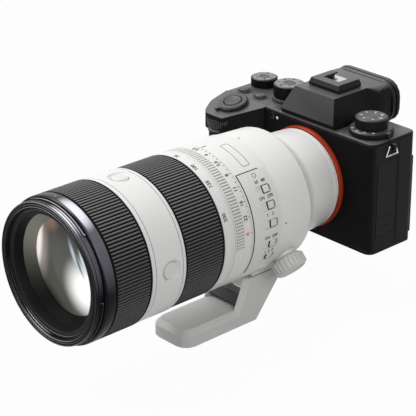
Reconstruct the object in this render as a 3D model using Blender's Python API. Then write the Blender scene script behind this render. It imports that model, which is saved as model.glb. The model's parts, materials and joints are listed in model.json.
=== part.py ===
# Mirrorless camera with a white telephoto zoom lens that stands on its collar foot.
# Frame: +Z up, the lens points along -Y, the grip is at -X and the port doors are at +X.
# The origin is the centre of the foot's underside. Each piece is drawn about the centre of
# the lens mount's front face, and one empty carries all of them to their place.
from math import atan2, cos, pi, radians, sin, tan

import bmesh
import bpy
from mathutils import Matrix, Vector

MM = 0.001

# Clearances
SEAT_GAP = 0.3 * MM  # between pieces that are fixed to each other
RUN_GAP = 0.35 * MM  # between a moving piece and its seat

# Lens lengths, from the mount forwards
MOUNT_STAND_OFF = 0.9 * MM  # lens barrel ahead of the mount face
REAR_BARREL_LENGTH = 33.3 * MM
COLLAR_WIDTH = 25.3 * MM
PANEL_WIDTH = 25.0 * MM
APERTURE_WIDTH = 13.8 * MM
SCALE_WIDTH = 8.1 * MM
ZOOM_GRIP_WIDTH = 29.8 * MM
BAND_WIDTH = 24.7 * MM
FOCUS_WIDTH = 26.0 * MM
FRONT_RING_WIDTH = 13.1 * MM
HOOD_SEAT_WIDTH = 5.6 * MM  # groove and lip for a hood, at the front of the front ring
HOOD_GROOVE_WIDTH = 2.2 * MM
FLANGE_THICKNESS = 1.2 * MM  # retaining flange in front of the front glass

# Lens radii
RING_RADIUS = 43.0 * MM  # switch panel, aperture ring and zoom ring
BAND_STEP = 0.4 * MM  # button band above the rings
FOCUS_STEP = 0.7 * MM  # focus ring and front ring above the rings
LIP_STEP = 1.0 * MM  # front lip below the rings
COLLAR_STEP = 0.6 * MM  # collar's front edge below the rings
COLLAR_TAPER = 1.2 * MM  # collar's back edge below its front edge
FLARE_STEP = 0.4 * MM  # rear barrel's front edge below the collar's back edge
FLARE_START = 22.0 * MM  # ahead of the mount face
MOUNT_RADIUS = 31.8 * MM  # lens barrel at the mount
NECK_TAPER = 1.2 * MM  # radius gained from the mount to the flare
HOOD_GROOVE_DEPTH = 0.6 * MM
FILTER_WALL = 3.5 * MM  # front lip around the filter thread
RING_DEPTH = 3.6 * MM  # inner tube that carries the rings, below their surface
CLEAR_STEP = 5.2 * MM  # retaining flange inside the inner tube's surface
TUBE_WALL = 2.8 * MM
COLLAR_SEAT_DEPTH = 0.8 * MM  # collar seat below the inner tube's radius
GRIP_RUBBER = 1.2 * MM  # thickness of the rubber sleeve on the zoom ring
RIB_COUNT = 132  # ribs around the zoom and focus grips
RIB_GAP = 0.8 * MM
RIB_DEPTH = 0.7 * MM
RIB_BORDER = 1.0 * MM  # plain rubber at both ends of the ribs
BAYONET_RADIUS = 22.6 * MM
BAYONET_WALL = 2.2 * MM
BAYONET_REACH = 5.0 * MM  # bayonet behind the mount face
BARREL_WALL = 3.4 * MM
EDGE = 0.5 * MM  # small chamfer on rings, dials and buttons

# Glass groups
FRONT_GLASS_INSET = 8.9 * MM  # back of the front glass behind the focus ring's front edge
FRONT_GLASS_RIM = 6.2 * MM
FRONT_GLASS_CROWN = 4.0 * MM
GLASS_RIM_WALL = 4.1 * MM  # black mounting rim around the front glass
GLASS_RIM_SLOPE = 2.0 * MM  # its inner face leans in to the glass
GLASS_RIM_HEIGHT = 4.5 * MM  # ahead of the glass's edge
REAR_GLASS_LENGTH = 10.0 * MM  # second glass, behind the front glass
GLASS_SEAT_STEPS = 3  # steps of the black seat around the second glass
GLASS_SEAT_STEP = 2.1 * MM
GLASS_SEAT_RUN = 3.2 * MM
ZOOM_GROUP_INSET = 12.6 * MM  # ahead of the scale ring
ZOOM_GROUP_LENGTH = 18.0 * MM
FOCUS_GROUP_INSET = 17.8 * MM  # ahead of the collar's back edge
FOCUS_GROUP_LENGTH = 8.0 * MM
GROUP_CROWN = 3.0 * MM

# Focus hold buttons and the switches on the lens panel
HOLD_INSET = 10.8 * MM  # ahead of the band's back edge
HOLD_RADIUS = 5.2 * MM
HOLD_TRAVEL = 0.5 * MM
HOLD_PROUD = 0.3 * MM
SWITCH_INSET = 7.7 * MM  # ahead of the panel's back edge
SWITCH_LENGTH = 5.4 * MM
SWITCH_WIDTH = 4.6 * MM
SWITCH_TRAVEL = 5.0 * MM
SWITCH_PROUD = 0.6 * MM
SWITCH_DEPTH = 1.7 * MM  # depth of a switch pocket below the panel's surface
SWITCH_ANGLES = {
    "focus_switch": 33.5,
    "override_switch": 20.4,
    "limit_switch": 5.9,
    "stabiliser_switch": -12.0,
    "stabiliser_mode_switch": -24.8,
}

# Collar foot and clamp knob
FOOT_HEIGHT = 29.7 * MM
FOOT_TOE_REACH = 78.8 * MM  # these reaches are ahead of the collar's back edge
FOOT_HEEL_REACH = 20.3 * MM
FOOT_WIDTH = 32.0 * MM
FOOT_PLATE = 10.5 * MM
FOOT_TOE_RADIUS = 8.0 * MM
FOOT_CHAMFER = 3.2 * MM
FOOT_CORNER_REACH = 36.8 * MM
LEG_FRONT_REACH = 28.4 * MM
LEG_BACK_REACH = 2.3 * MM
LEG_BACK_DROP = 7.7 * MM  # height of the leg's upright back face
COLLAR_BLOCK_DEPTH = 1.6 * MM  # collar's base block below its ring
COLLAR_BLOCK_INSET = 1.0 * MM
STRUT = 3.0 * MM
LEG_BRIDGE = 5.2 * MM  # cross piece that joins the struts at the top
BRACE_HEIGHT = 6.9 * MM
BRACE_THICKNESS = 4.0 * MM
BRACE_LIFT = 2.6 * MM  # brace's lower edge above the foot plate
BRACE_SET_BACK = 2.8 * MM  # brace behind the plate's inner corner
BRACE_LEAN = 36.0  # degrees from upright
KNOB_ANGLE = -43.0
KNOB_INSET = 11.8 * MM  # ahead of the collar's back edge
KNOB_RADIUS = 10.8 * MM
KNOB_THICKNESS = 8.8 * MM
KNOB_BOSS_RADIUS = 7.5 * MM
KNOB_BOSS_HEIGHT = 0.6 * MM

# Camera casing
BODY_LEFT = 55.4 * MM  # port side, from the lens axis
BODY_RIGHT = -73.5 * MM
BODY_FRONT = 3.0 * MM  # behind the mount face
BODY_REAR = 41.0 * MM
BODY_SPLIT = 26.2 * MM  # where the front shell meets the rear cover
BODY_BASE = -36.4 * MM
BODY_DECK = 36.3 * MM
WALL = 2.2 * MM
BASE_THICKNESS = 2.0 * MM
DECK_THICKNESS = 1.7 * MM
DECK_ROUND = 1.1 * MM  # deck's broken upper edge
REAR_WALL = 3.6 * MM
FRONT_CORNER = 5.0 * MM
REAR_CORNER = 4.0 * MM
MOUNT_PLATE_RADIUS = 30.6 * MM
TRIM_WIDTH = 1.7 * MM
TRIM_TAPER = 0.5 * MM
THROAT_RADIUS = 23.05 * MM
TRIPOD_RADIUS = 3.2 * MM
TRIPOD_BEHIND = 18.0 * MM  # tripod socket under the image plane

# Grip
GRIP_SEAM = -36.0 * MM
GRIP_FRONT = -20.8 * MM  # nose that carries the front dial
GRIP_FRONT_LOW = -17.0 * MM  # finger grip below the nose
GRIP_NOSE_LOW = 20.4 * MM
GRIP_NOSE_INNER = -51.0 * MM
GRIP_NOSE_OUTER = -67.5 * MM
GRIP_OUTER_START = -9.0 * MM
GRIP_SIDE_ROUND = 10.0 * MM
GRIP_NOSE_ROUND = 7.0 * MM
GRIP_INNER_ROUND = 2.5 * MM
GRIP_SEAM_ROUND = 2.0 * MM
GRIP_LEDGE = 5.0 * MM  # where the sloping grip top meets the deck
GRIP_SLOPE = 13.8  # degrees
BATTERY_SIZE = (22.7 * MM, 38.7 * MM, 51.7 * MM)
BATTERY_INSET = 3.4 * MM  # battery from the grip's outer side
BATTERY_BEHIND = 30.5 * MM  # battery's rear face
BATTERY_DOOR_RIM = 1.2 * MM

# Viewfinder hump, accessory shoe and eyepiece
HUMP_BROW_RISE = 3.05 * MM  # these rises are above the deck
HUMP_BROW_FRONT = 2.6 * MM
HUMP_BROW_HALF = 22.4 * MM
HUMP_FOOT_FRONT = 5.0 * MM
HUMP_FOOT_HALF = 22.9 * MM
HUMP_RISE = 17.3 * MM
HUMP_TOP_FRONT = 9.2 * MM
HUMP_TOP_HALF = 16.6 * MM
HUMP_REAR = 40.0 * MM
HUMP_WALL = 2.6 * MM
HOUSING_NECK = 38.4 * MM  # where the hump starts to widen into the housing
HOUSING_FRONT = 43.4 * MM
HOUSING_REAR = 52.7 * MM
HOUSING_HALF = 24.6 * MM
HOUSING_RISE = 17.6 * MM
HOUSING_DROP = 7.3 * MM  # below the deck
HOUSING_CORNER = 6.0 * MM
SHOE_HALF = 12.6 * MM
SHOE_FRONT = 17.2 * MM
SHOE_STOP = 24.0 * MM  # where the slot ends behind the shoe's front
SHOE_REAR = 37.8 * MM
SHOE_BASE = 1.7 * MM
SHOE_SIDE_LEAN = 1.0 * MM  # the walls lean in by this much
SHOE_SLOT_HALF = 9.4 * MM
SHOE_SLOT = 2.1 * MM
SHOE_LIP = 0.9 * MM
SHOE_LIP_HALF = 6.4 * MM
EYECUP_HALF = 26.2 * MM
EYECUP_DROP = 8.8 * MM  # below the deck
EYECUP_RISE = 18.7 * MM
EYECUP_REAR = 60.0 * MM
EYECUP_GROOVE = 1.3 * MM  # depth of the groove between the cup's two ridges
EYECUP_CORNER = 10.0 * MM
EYECUP_HOLE_HALF = 17.5 * MM
EYECUP_HOLE_HEIGHT = 20.0 * MM
EYEPIECE_HALF = 14.0 * MM
EYEPIECE_HEIGHT = 17.0 * MM
EYEPIECE_DEPTH = 2.4 * MM

# Dials on the deck: centre (x, y), radius and height
STUB_RADIUS = 3.0 * MM
EXPOSURE_DIAL = (-64.5 * MM, 30.0 * MM, 8.7 * MM, 5.6 * MM)
MODE_DIAL = (-34.4 * MM, 22.6 * MM, 10.1 * MM, 10.7 * MM)
DRIVE_DIAL = (39.8 * MM, 17.8 * MM, 10.0 * MM, 6.3 * MM)
MODE_BASE_RADIUS = 10.9 * MM
MODE_BASE_HEIGHT = 2.2 * MM
LEVER_RADIUS = 13.4 * MM
LEVER_HEIGHT = 4.0 * MM
LEVER_BORE = 8.0 * MM
LEVER_TAB = 1.6 * MM

# Buttons and dials on the grip and the rear
SHUTTER_PLACE = (-56.9 * MM, -4.8 * MM)
SHUTTER_RADIUS = 5.8 * MM
SHUTTER_PROUD = 3.2 * MM
SHUTTER_TRAVEL = 0.8 * MM
POWER_RADIUS = 9.9 * MM
POWER_HEIGHT = 2.7 * MM
POWER_TAB = 2.6 * MM
POWER_TAB_TURN = -20.0  # degrees from straight ahead
FRONT_DIAL_X = -58.0 * MM
FRONT_DIAL_RADIUS = 9.5 * MM
FRONT_DIAL_THICKNESS = 5.3 * MM
FRONT_DIAL_PROUD = 4.0 * MM
FRONT_DIAL_DROP = 2.6 * MM  # below the sloping top, along its normal
FINGER_REST_STEP = 0.5 * MM  # finger rest's edge ahead of the front dial
FINGER_REST_THICKNESS = 2.4 * MM
REAR_DIAL_X = -54.0 * MM
REAR_DIAL_RADIUS = 7.0 * MM
REAR_DIAL_THICKNESS = 5.2 * MM
REAR_DIAL_PROUD = 2.0 * MM
TOP_BUTTON_NEAR = (-50.0 * MM, 12.2 * MM)
TOP_BUTTON_FAR = (-65.0 * MM, 12.8 * MM)
TOP_BUTTON_RADIUS = 3.6 * MM
TOP_BUTTON_PROUD = 1.9 * MM
BUTTON_TRAVEL = 0.6 * MM
BUTTON_PROUD = 1.3 * MM
MENU_BUTTON = (44.0 * MM, 28.0 * MM, 3.4 * MM)
AF_ON_BUTTON = (-38.0 * MM, 25.6 * MM, 4.0 * MM)
CENTRE_PLACE = (-50.0 * MM, -9.0 * MM)
CENTRE_RADIUS = 5.0 * MM
WHEEL_RADIUS = 12.5 * MM
WHEEL_THICKNESS = 1.6 * MM
JOYSTICK_PLACE = (-46.0 * MM, 14.0 * MM)
JOYSTICK_RADIUS = 4.0 * MM
JOYSTICK_HEIGHT = 2.6 * MM
JOYSTICK_STEM = 1.6 * MM
JOYSTICK_LIFT = 1.4 * MM
RELEASE_PLACE = (-30.6 * MM, -25.6 * MM)
RELEASE_RADIUS = 4.3 * MM
RELEASE_PROUD = 2.2 * MM
BUTTON_WELL = 2.4 * MM  # depth of a button's well

# Monitor on its tilting arm
MONITOR_LEFT = 52.0 * MM
MONITOR_RIGHT = -24.0 * MM
MONITOR_LOW = -33.0 * MM
MONITOR_TOP = 18.0 * MM
MONITOR_THICKNESS = 3.8 * MM
ARM_THICKNESS = 1.5 * MM
ARM_INSET = 8.0 * MM
ARM_HINGE_RISE = 0.8 * MM  # arm's lower hinge above the monitor's lower edge

# Doors
DOOR_THICKNESS = 1.2 * MM
PORT_DOOR_FRONT = 7.7 * MM
PORT_DOOR_BACK = 25.2 * MM
PORT_DOOR_TOP = 23.2 * MM
PORT_DOOR_LOW = -13.4 * MM
TERMINAL_DOOR_LOW = -25.4 * MM
CARD_DOOR_FRONT = 28.6 * MM
CARD_DOOR_BACK = 38.0 * MM
CARD_DOOR_TOP = 20.0 * MM
CARD_DOOR_LOW = -22.0 * MM

# Strap lugs and rings
LUG_DROP = 2.1 * MM  # lug's eye below the casing's top edge
LUG_LEFT_BEHIND = 18.6 * MM
LUG_RIGHT_BEHIND = 12.0 * MM
LUG_REACH = 3.6 * MM
LUG_WIDTH = 2.0 * MM
LUG_TALL = 3.6 * MM
LUG_HOLE = 1.3 * MM
RING_WIRE = 0.6 * MM
RING_TOP_HALF = 2.6 * MM
RING_LOW_HALF = 5.0 * MM
RING_DROP = 5.4 * MM

# Inside the casing
SENSOR_FRONT = 17.4 * MM  # image plane behind the mount face, less the cover glass
SENSOR_SIZE = (36.0 * MM, 24.0 * MM, 1.0 * MM)
CARRIER_HALF = 27.0 * MM
CARRIER_THICKNESS = 3.0 * MM
BOARD_GAP = 1.0 * MM
BOARD_THICKNESS = 1.6 * MM
BOARD_MARGIN = 1.0 * MM

# Facets
LENS_STEPS = 40
FLARE_STEPS = 5
DIAL_STEPS = 28
BUTTON_STEPS = 16
CORNER_STEPS = 4
SMOOTH_ANGLE = radians(32)

# Stations along the lens, ahead of the mount face
COLLAR_BACK = MOUNT_STAND_OFF + REAR_BARREL_LENGTH
COLLAR_FRONT = COLLAR_BACK + COLLAR_WIDTH
PANEL_FRONT = COLLAR_FRONT + PANEL_WIDTH
APERTURE_FRONT = PANEL_FRONT + APERTURE_WIDTH
SCALE_FRONT = APERTURE_FRONT + SCALE_WIDTH
ZOOM_FRONT = SCALE_FRONT + ZOOM_GRIP_WIDTH
BAND_FRONT = ZOOM_FRONT + BAND_WIDTH
FOCUS_FRONT = BAND_FRONT + FOCUS_WIDTH
LENS_FRONT = FOCUS_FRONT + FRONT_RING_WIDTH
HOOD_BACK = LENS_FRONT - HOOD_SEAT_WIDTH
TUBE_FRONT = HOOD_BACK - FLANGE_THICKNESS - 2 * SEAT_GAP - EDGE
FRONT_GLASS_BACK = FOCUS_FRONT - FRONT_GLASS_INSET
ZOOM_GROUP_BACK = SCALE_FRONT + ZOOM_GROUP_INSET
FOCUS_GROUP_BACK = COLLAR_BACK + FOCUS_GROUP_INSET
HOLD_STATION = ZOOM_FRONT + HOLD_INSET
SWITCH_STATION = COLLAR_FRONT + SWITCH_INSET
KNOB_STATION = COLLAR_BACK + KNOB_INSET
FOOT_TOE = COLLAR_BACK + FOOT_TOE_REACH
FOOT_HEEL = COLLAR_BACK + FOOT_HEEL_REACH
FOOT_INNER_CORNER = COLLAR_BACK + FOOT_CORNER_REACH
LEG_TOP_FRONT = COLLAR_BACK + LEG_FRONT_REACH
LEG_TOP_BACK = COLLAR_BACK + LEG_BACK_REACH

# Radii of the lens
BAND_RADIUS = RING_RADIUS + BAND_STEP
FOCUS_RADIUS = RING_RADIUS + FOCUS_STEP
LIP_RADIUS = RING_RADIUS - LIP_STEP
FILTER_RADIUS = LIP_RADIUS - FILTER_WALL
COLLAR_RADIUS = RING_RADIUS - COLLAR_STEP
COLLAR_BACK_RADIUS = COLLAR_RADIUS - COLLAR_TAPER
FLARE_RADIUS = COLLAR_BACK_RADIUS - FLARE_STEP
TUBE_RADIUS = RING_RADIUS - RING_DEPTH
CLEAR_RADIUS = TUBE_RADIUS - CLEAR_STEP
TUBE_BORE = TUBE_RADIUS - TUBE_WALL
RING_BORE = TUBE_RADIUS + RUN_GAP
COLLAR_SEAT = TUBE_RADIUS - COLLAR_SEAT_DEPTH

# Levels of the casing
CASE_LOW = BODY_BASE + BASE_THICKNESS + SEAT_GAP
CASE_TOP = BODY_DECK - DECK_THICKNESS - SEAT_GAP
DECK_LOW = BODY_DECK - DECK_THICKNESS
LUG_HEIGHT = CASE_TOP - LUG_DROP
HUMP_BROW = BODY_DECK + HUMP_BROW_RISE
HUMP_TOP = BODY_DECK + HUMP_RISE
HOUSING_TOP = BODY_DECK + HOUSING_RISE
HOUSING_LOW = BODY_DECK - HOUSING_DROP
EYECUP_LOW = BODY_DECK - EYECUP_DROP
EYECUP_TOP = BODY_DECK + EYECUP_RISE
COLLAR_BLOCK_DROP = COLLAR_RADIUS + COLLAR_BLOCK_DEPTH
LEG_TOP = -COLLAR_BLOCK_DROP - SEAT_GAP
FOOT_BASE = LEG_TOP - FOOT_HEIGHT
FOOT_TOP = FOOT_BASE + FOOT_PLATE

MOUNT = Vector((0, 0, 0))
AHEAD = Vector((0, -1, 0))
BACK = Vector((0, 1, 0))
UP = Vector((0, 0, 1))
SLOPE = radians(GRIP_SLOPE)
SLOPE_NORMAL = Vector((0, -sin(SLOPE), cos(SLOPE)))


def clear_scene():
    for thing in list(bpy.data.objects):
        bpy.data.objects.remove(thing)


def finish(name, colour, roughness, metallic=0.0):
    """A plain Principled material."""
    made = bpy.data.materials.new(name)
    made.use_nodes = True
    shader = made.node_tree.nodes["Principled BSDF"]
    shader.inputs["Base Color"].default_value = (*colour, 1.0)
    shader.inputs["Roughness"].default_value = roughness
    shader.inputs["Metallic"].default_value = metallic
    return made


def block(low, high):
    """A box between two corners."""
    shape = bmesh.new()
    low, high = Vector(low), Vector(high)
    size = Matrix.Diagonal((*(high - low), 1.0))
    place = Matrix.Translation((low + high) / 2)
    bmesh.ops.create_cube(shape, size=1.0, matrix=place @ size)
    return shape


def rounded(corners, steps=CORNER_STEPS):
    """An outline from (a, b, radius) corners, with an arc at each corner that has a radius."""
    outline = []
    for index, (a, b, radius) in enumerate(corners):
        here = Vector((a, b))
        if radius == 0:
            outline.append(here)
            continue
        before = (Vector(corners[index - 1][:2]) - here).normalized()
        after = (Vector(corners[(index + 1) % len(corners)][:2]) - here).normalized()
        half = before.angle(after) / 2
        centre = here + (before + after).normalized() * (radius / sin(half))
        reach = radius / tan(half)
        first = here + before * reach - centre
        last = here + after * reach - centre
        start = atan2(first.y, first.x)
        sweep = (atan2(last.y, last.x) - start + pi) % (2 * pi) - pi
        for step in range(steps + 1):
            angle = start + sweep * step / steps
            outline.append(centre + radius * Vector((cos(angle), sin(angle))))
    return outline


def slab(outline, low, high, lift="Z"):
    """An outline raised along an axis. It holds (x, y) for Z, (y, z) for X and (x, z) for Y."""
    shape = bmesh.new()
    places = {
        "X": lambda a, b, height: (height, a, b),
        "Y": lambda a, b, height: (a, height, b),
        "Z": lambda a, b, height: (a, b, height),
    }
    place = places[lift]
    bottom = shape.faces.new([shape.verts.new(place(a, b, low)) for a, b in outline])
    grown = bmesh.ops.extrude_face_region(shape, geom=[bottom])
    raised = [item for item in grown["geom"] if isinstance(item, bmesh.types.BMVert)]
    bmesh.ops.translate(shape, verts=raised, vec=Vector(place(0, 0, high - low)))
    return shape


def loft(levels):
    """A solid through loops of points, each with as many points as the next."""
    shape = bmesh.new()
    loops = [[shape.verts.new(point) for point in level] for level in levels]
    sides = []
    for lower, upper in zip(loops, loops[1:]):
        for index, corner in enumerate(lower):
            after = (index + 1) % len(lower)
            sides.append(shape.faces.new((corner, lower[after], upper[after], upper[index])))
    bmesh.ops.triangulate(shape, faces=sides)
    shape.faces.new(loops[0])
    shape.faces.new(loops[-1])
    return shape


def turned(profile, at=MOUNT, along=AHEAD, steps=LENS_STEPS, solid=False):
    """A (radius, height) profile turned about an axis. A solid's profile starts and ends on it."""
    shape = bmesh.new()
    points = [shape.verts.new((radius, 0, height)) for radius, height in profile]
    pairs = list(zip(points, points[1:]))
    if not solid:
        pairs.append((points[-1], points[0]))
    lines = [shape.edges.new(pair) for pair in pairs]
    bmesh.ops.spin(
        shape,
        geom=points + lines,
        cent=(0, 0, 0),
        axis=(0, 0, 1),
        angle=2 * pi,
        steps=steps,
        use_merge=True,
    )
    bmesh.ops.remove_doubles(shape, verts=shape.verts, dist=0.001 * MM)
    turn = Vector(along).to_track_quat("Z", "Y").to_matrix().to_4x4()
    bmesh.ops.transform(shape, matrix=Matrix.Translation(at) @ turn, verts=shape.verts)
    return shape


def drum(radius, low, high, at=MOUNT, along=AHEAD, steps=BUTTON_STEPS, edge=0.0):
    """A round post, with a chamfer at its far end where an edge is given."""
    top = [(radius, high)]
    if edge > 0:
        top = [(radius, high - edge), (radius - edge, high)]
    return turned([(0, low), (radius, low), *top, (0, high)], at, along, steps, solid=True)


def bevelled(shape, test, width, segments=1):
    """Bevels the edges that pass a test of their two ends."""
    chosen = [edge for edge in shape.edges if test(*(corner.co for corner in edge.verts))]
    bmesh.ops.bevel(
        shape, geom=chosen, offset=width, affect="EDGES", segments=segments, profile=0.5, material=-1
    )
    return shape


def leaned(shape, angle, pivot, axis="X"):
    """Turns a shape about an axis through a point."""
    turn = Matrix.Rotation(angle, 4, axis)
    move = Matrix.Translation(pivot)
    bmesh.ops.transform(shape, matrix=move @ turn @ move.inverted(), verts=shape.verts)
    return shape


def piece(name, shape, look, origin=MOUNT):
    """A named object with its origin at the given point."""
    bmesh.ops.recalc_face_normals(shape, faces=shape.faces)
    bmesh.ops.translate(shape, verts=shape.verts, vec=-Vector(origin))
    mesh = bpy.data.meshes.new(name)
    shape.to_mesh(mesh)
    shape.free()
    mesh.materials.append(look)
    mesh.shade_smooth()
    mesh.set_sharp_from_angle(angle=SMOOTH_ANGLE)
    made = bpy.data.objects.new(name, mesh)
    made.location = origin
    bpy.context.scene.collection.objects.link(made)
    return made


def combine(target, shape, operation):
    """Joins a shape to a piece or cuts it out, and keeps the result as the piece's mesh."""
    tool = piece(target.name + "_tool", shape, target.active_material)
    step = target.modifiers.new("combine", "BOOLEAN")
    step.operation = operation
    step.solver = "EXACT"
    step.object = tool
    bpy.context.view_layer.update()
    graph = bpy.context.evaluated_depsgraph_get()
    mesh = bpy.data.meshes.new_from_object(target.evaluated_get(graph))
    target.modifiers.clear()
    target.data = mesh
    bpy.data.objects.remove(tool)


def cut(target, *shapes):
    for shape in shapes:
        combine(target, shape, "DIFFERENCE")


def fuse(target, *shapes):
    for shape in shapes:
        combine(target, shape, "UNION")


def on_slope(x, y):
    """A point on the grip's sloping top."""
    return Vector((x, y, BODY_DECK - (GRIP_LEDGE - y) * tan(SLOPE)))


def spoke(angle):
    """The direction away from the lens axis at an angle above +X, in degrees."""
    return Vector((cos(radians(angle)), 0, sin(radians(angle))))


def ring_profile(bore, radius, back, front, edge=EDGE):
    """A plain ring with its two outer corners broken."""
    return [
        (bore, back),
        (radius - edge, back),
        (radius, back + edge),
        (radius, front - edge),
        (radius - edge, front),
        (bore, front),
    ]


def make_rear_barrel(looks):
    end = COLLAR_BACK - SEAT_GAP
    span = end - FLARE_START
    neck = MOUNT_RADIUS + NECK_TAPER
    swell = FLARE_RADIUS - neck
    shares = [step / FLARE_STEPS for step in range(FLARE_STEPS + 1)]
    flare = [(neck + swell * share**2, FLARE_START + span * share) for share in shares]
    outside = [(MOUNT_RADIUS, MOUNT_STAND_OFF + EDGE), *flare]
    throat = BAYONET_RADIUS - BAYONET_WALL
    inside = [
        (TUBE_BORE, end),
        (neck - BARREL_WALL, FLARE_START),
        (MOUNT_RADIUS - BARREL_WALL, MOUNT_STAND_OFF + 2 * BARREL_WALL),
    ]
    tail = [
        (throat, MOUNT_STAND_OFF + BARREL_WALL),
        (throat, -BAYONET_REACH),
        (BAYONET_RADIUS, -BAYONET_REACH),
        (BAYONET_RADIUS, MOUNT_STAND_OFF),
        (MOUNT_RADIUS - EDGE, MOUNT_STAND_OFF),
    ]
    piece("rear_barrel", turned(outside + inside + tail), looks["white"])


def switch_pocket(angle):
    """The pocket of one switch, cut square into the lens panel."""
    floor = RING_RADIUS - SWITCH_DEPTH
    half = SWITCH_WIDTH / 2 + RUN_GAP
    back = SWITCH_STATION - SWITCH_LENGTH / 2 - RUN_GAP
    front = SWITCH_STATION + SWITCH_LENGTH / 2 + SWITCH_TRAVEL + RUN_GAP
    shape = block((floor, -front, -half), (RING_RADIUS + SWITCH_DEPTH, -back, half))
    return leaned(shape, -radians(angle), MOUNT, "Y")


def make_main_barrel(looks):
    profile = [
        (TUBE_BORE, COLLAR_BACK),
        (COLLAR_SEAT, COLLAR_BACK),
        (COLLAR_SEAT, COLLAR_FRONT),
        (RING_RADIUS - EDGE, COLLAR_FRONT),
        (RING_RADIUS, COLLAR_FRONT + EDGE),
        (RING_RADIUS, PANEL_FRONT - EDGE),
        (RING_RADIUS - EDGE, PANEL_FRONT),
        (TUBE_RADIUS, PANEL_FRONT),
        (TUBE_RADIUS, TUBE_FRONT),
        (TUBE_BORE, TUBE_FRONT),
    ]
    radius, station = TUBE_BORE, FRONT_GLASS_BACK - SEAT_GAP
    profile.append((radius, station))
    for _ in range(GLASS_SEAT_STEPS):
        radius -= GLASS_SEAT_STEP
        profile += [(radius, station), (radius, station - GLASS_SEAT_RUN)]
        station -= GLASS_SEAT_RUN
    profile.append((TUBE_BORE, station - GLASS_SEAT_STEPS * GLASS_SEAT_STEP))
    barrel = piece("main_barrel", turned(profile), looks["white"])
    cut(barrel, *(switch_pocket(angle) for angle in SWITCH_ANGLES.values()))


def make_switches(looks):
    low = RING_RADIUS - SWITCH_DEPTH + SEAT_GAP
    high = RING_RADIUS + SWITCH_PROUD
    back = SWITCH_STATION - SWITCH_LENGTH / 2
    front = SWITCH_STATION + SWITCH_LENGTH / 2
    for name, angle in SWITCH_ANGLES.items():
        shape = block((low, -front, -SWITCH_WIDTH / 2), (high, -back, SWITCH_WIDTH / 2))
        leaned(shape, -radians(angle), MOUNT, "Y")
        origin = spoke(angle) * RING_RADIUS + AHEAD * SWITCH_STATION
        piece(name, shape, looks["white_trim"], origin)


def rib_gaps(radius, back, front):
    """The gaps between the ribs of a rubber grip, all in one shape."""
    gaps = bmesh.new()
    low = Vector((radius - RIB_DEPTH, RIB_BORDER - front, -RIB_GAP / 2))
    high = Vector((radius + RIB_DEPTH, -RIB_BORDER - back, RIB_GAP / 2))
    size = Matrix.Diagonal((*(high - low), 1.0))
    place = Matrix.Translation((low + high) / 2)
    for step in range(RIB_COUNT):
        turn = Matrix.Rotation(2 * pi * step / RIB_COUNT, 4, "Y")
        bmesh.ops.create_cube(gaps, size=1.0, matrix=turn @ place @ size)
    return gaps


def make_lens_rings(looks):
    aperture = ring_profile(RING_BORE, RING_RADIUS, PANEL_FRONT + RUN_GAP, APERTURE_FRONT - RUN_GAP)
    piece("aperture_ring", turned(aperture), looks["white"])
    sleeve = RING_RADIUS - GRIP_RUBBER - SEAT_GAP
    zoom = [
        (RING_BORE, APERTURE_FRONT),
        (RING_RADIUS - EDGE, APERTURE_FRONT),
        (RING_RADIUS, APERTURE_FRONT + EDGE),
        (RING_RADIUS, SCALE_FRONT - SEAT_GAP),
        (sleeve, SCALE_FRONT - SEAT_GAP),
        (sleeve, ZOOM_FRONT - RUN_GAP),
        (RING_BORE, ZOOM_FRONT - RUN_GAP),
    ]
    piece("zoom_ring", turned(zoom), looks["white"])
    rubber = ring_profile(RING_RADIUS - GRIP_RUBBER, RING_RADIUS, SCALE_FRONT, ZOOM_FRONT - RUN_GAP)
    grip = piece("zoom_grip", turned(rubber, steps=RIB_COUNT // 2), looks["rubber"])
    cut(grip, rib_gaps(RING_RADIUS, SCALE_FRONT, ZOOM_FRONT - RUN_GAP))
    focus = ring_profile(RING_BORE, FOCUS_RADIUS, BAND_FRONT + RUN_GAP, FOCUS_FRONT)
    ring = piece("focus_ring", turned(focus, steps=RIB_COUNT // 2), looks["rubber"])
    cut(ring, rib_gaps(FOCUS_RADIUS, BAND_FRONT + RUN_GAP, FOCUS_FRONT))


def make_hold_band(looks):
    bore = TUBE_RADIUS + SEAT_GAP
    profile = ring_profile(bore, BAND_RADIUS, ZOOM_FRONT, BAND_FRONT)
    band = piece("button_band", turned(profile), looks["white"])
    for name, angle in (("hold_button_top", 90), ("hold_button_left", 180), ("hold_button_right", 0)):
        out = spoke(angle)
        place = AHEAD * HOLD_STATION
        well = drum(HOLD_RADIUS + RUN_GAP, TUBE_BORE, BAND_RADIUS + HOLD_RADIUS, place, out)
        cut(band, well)
        low = TUBE_RADIUS + SEAT_GAP + HOLD_TRAVEL
        cap = drum(HOLD_RADIUS, low, BAND_RADIUS + HOLD_PROUD, place, out, edge=EDGE)
        piece(name, cap, looks["white_trim"], place + out * BAND_RADIUS)


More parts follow.
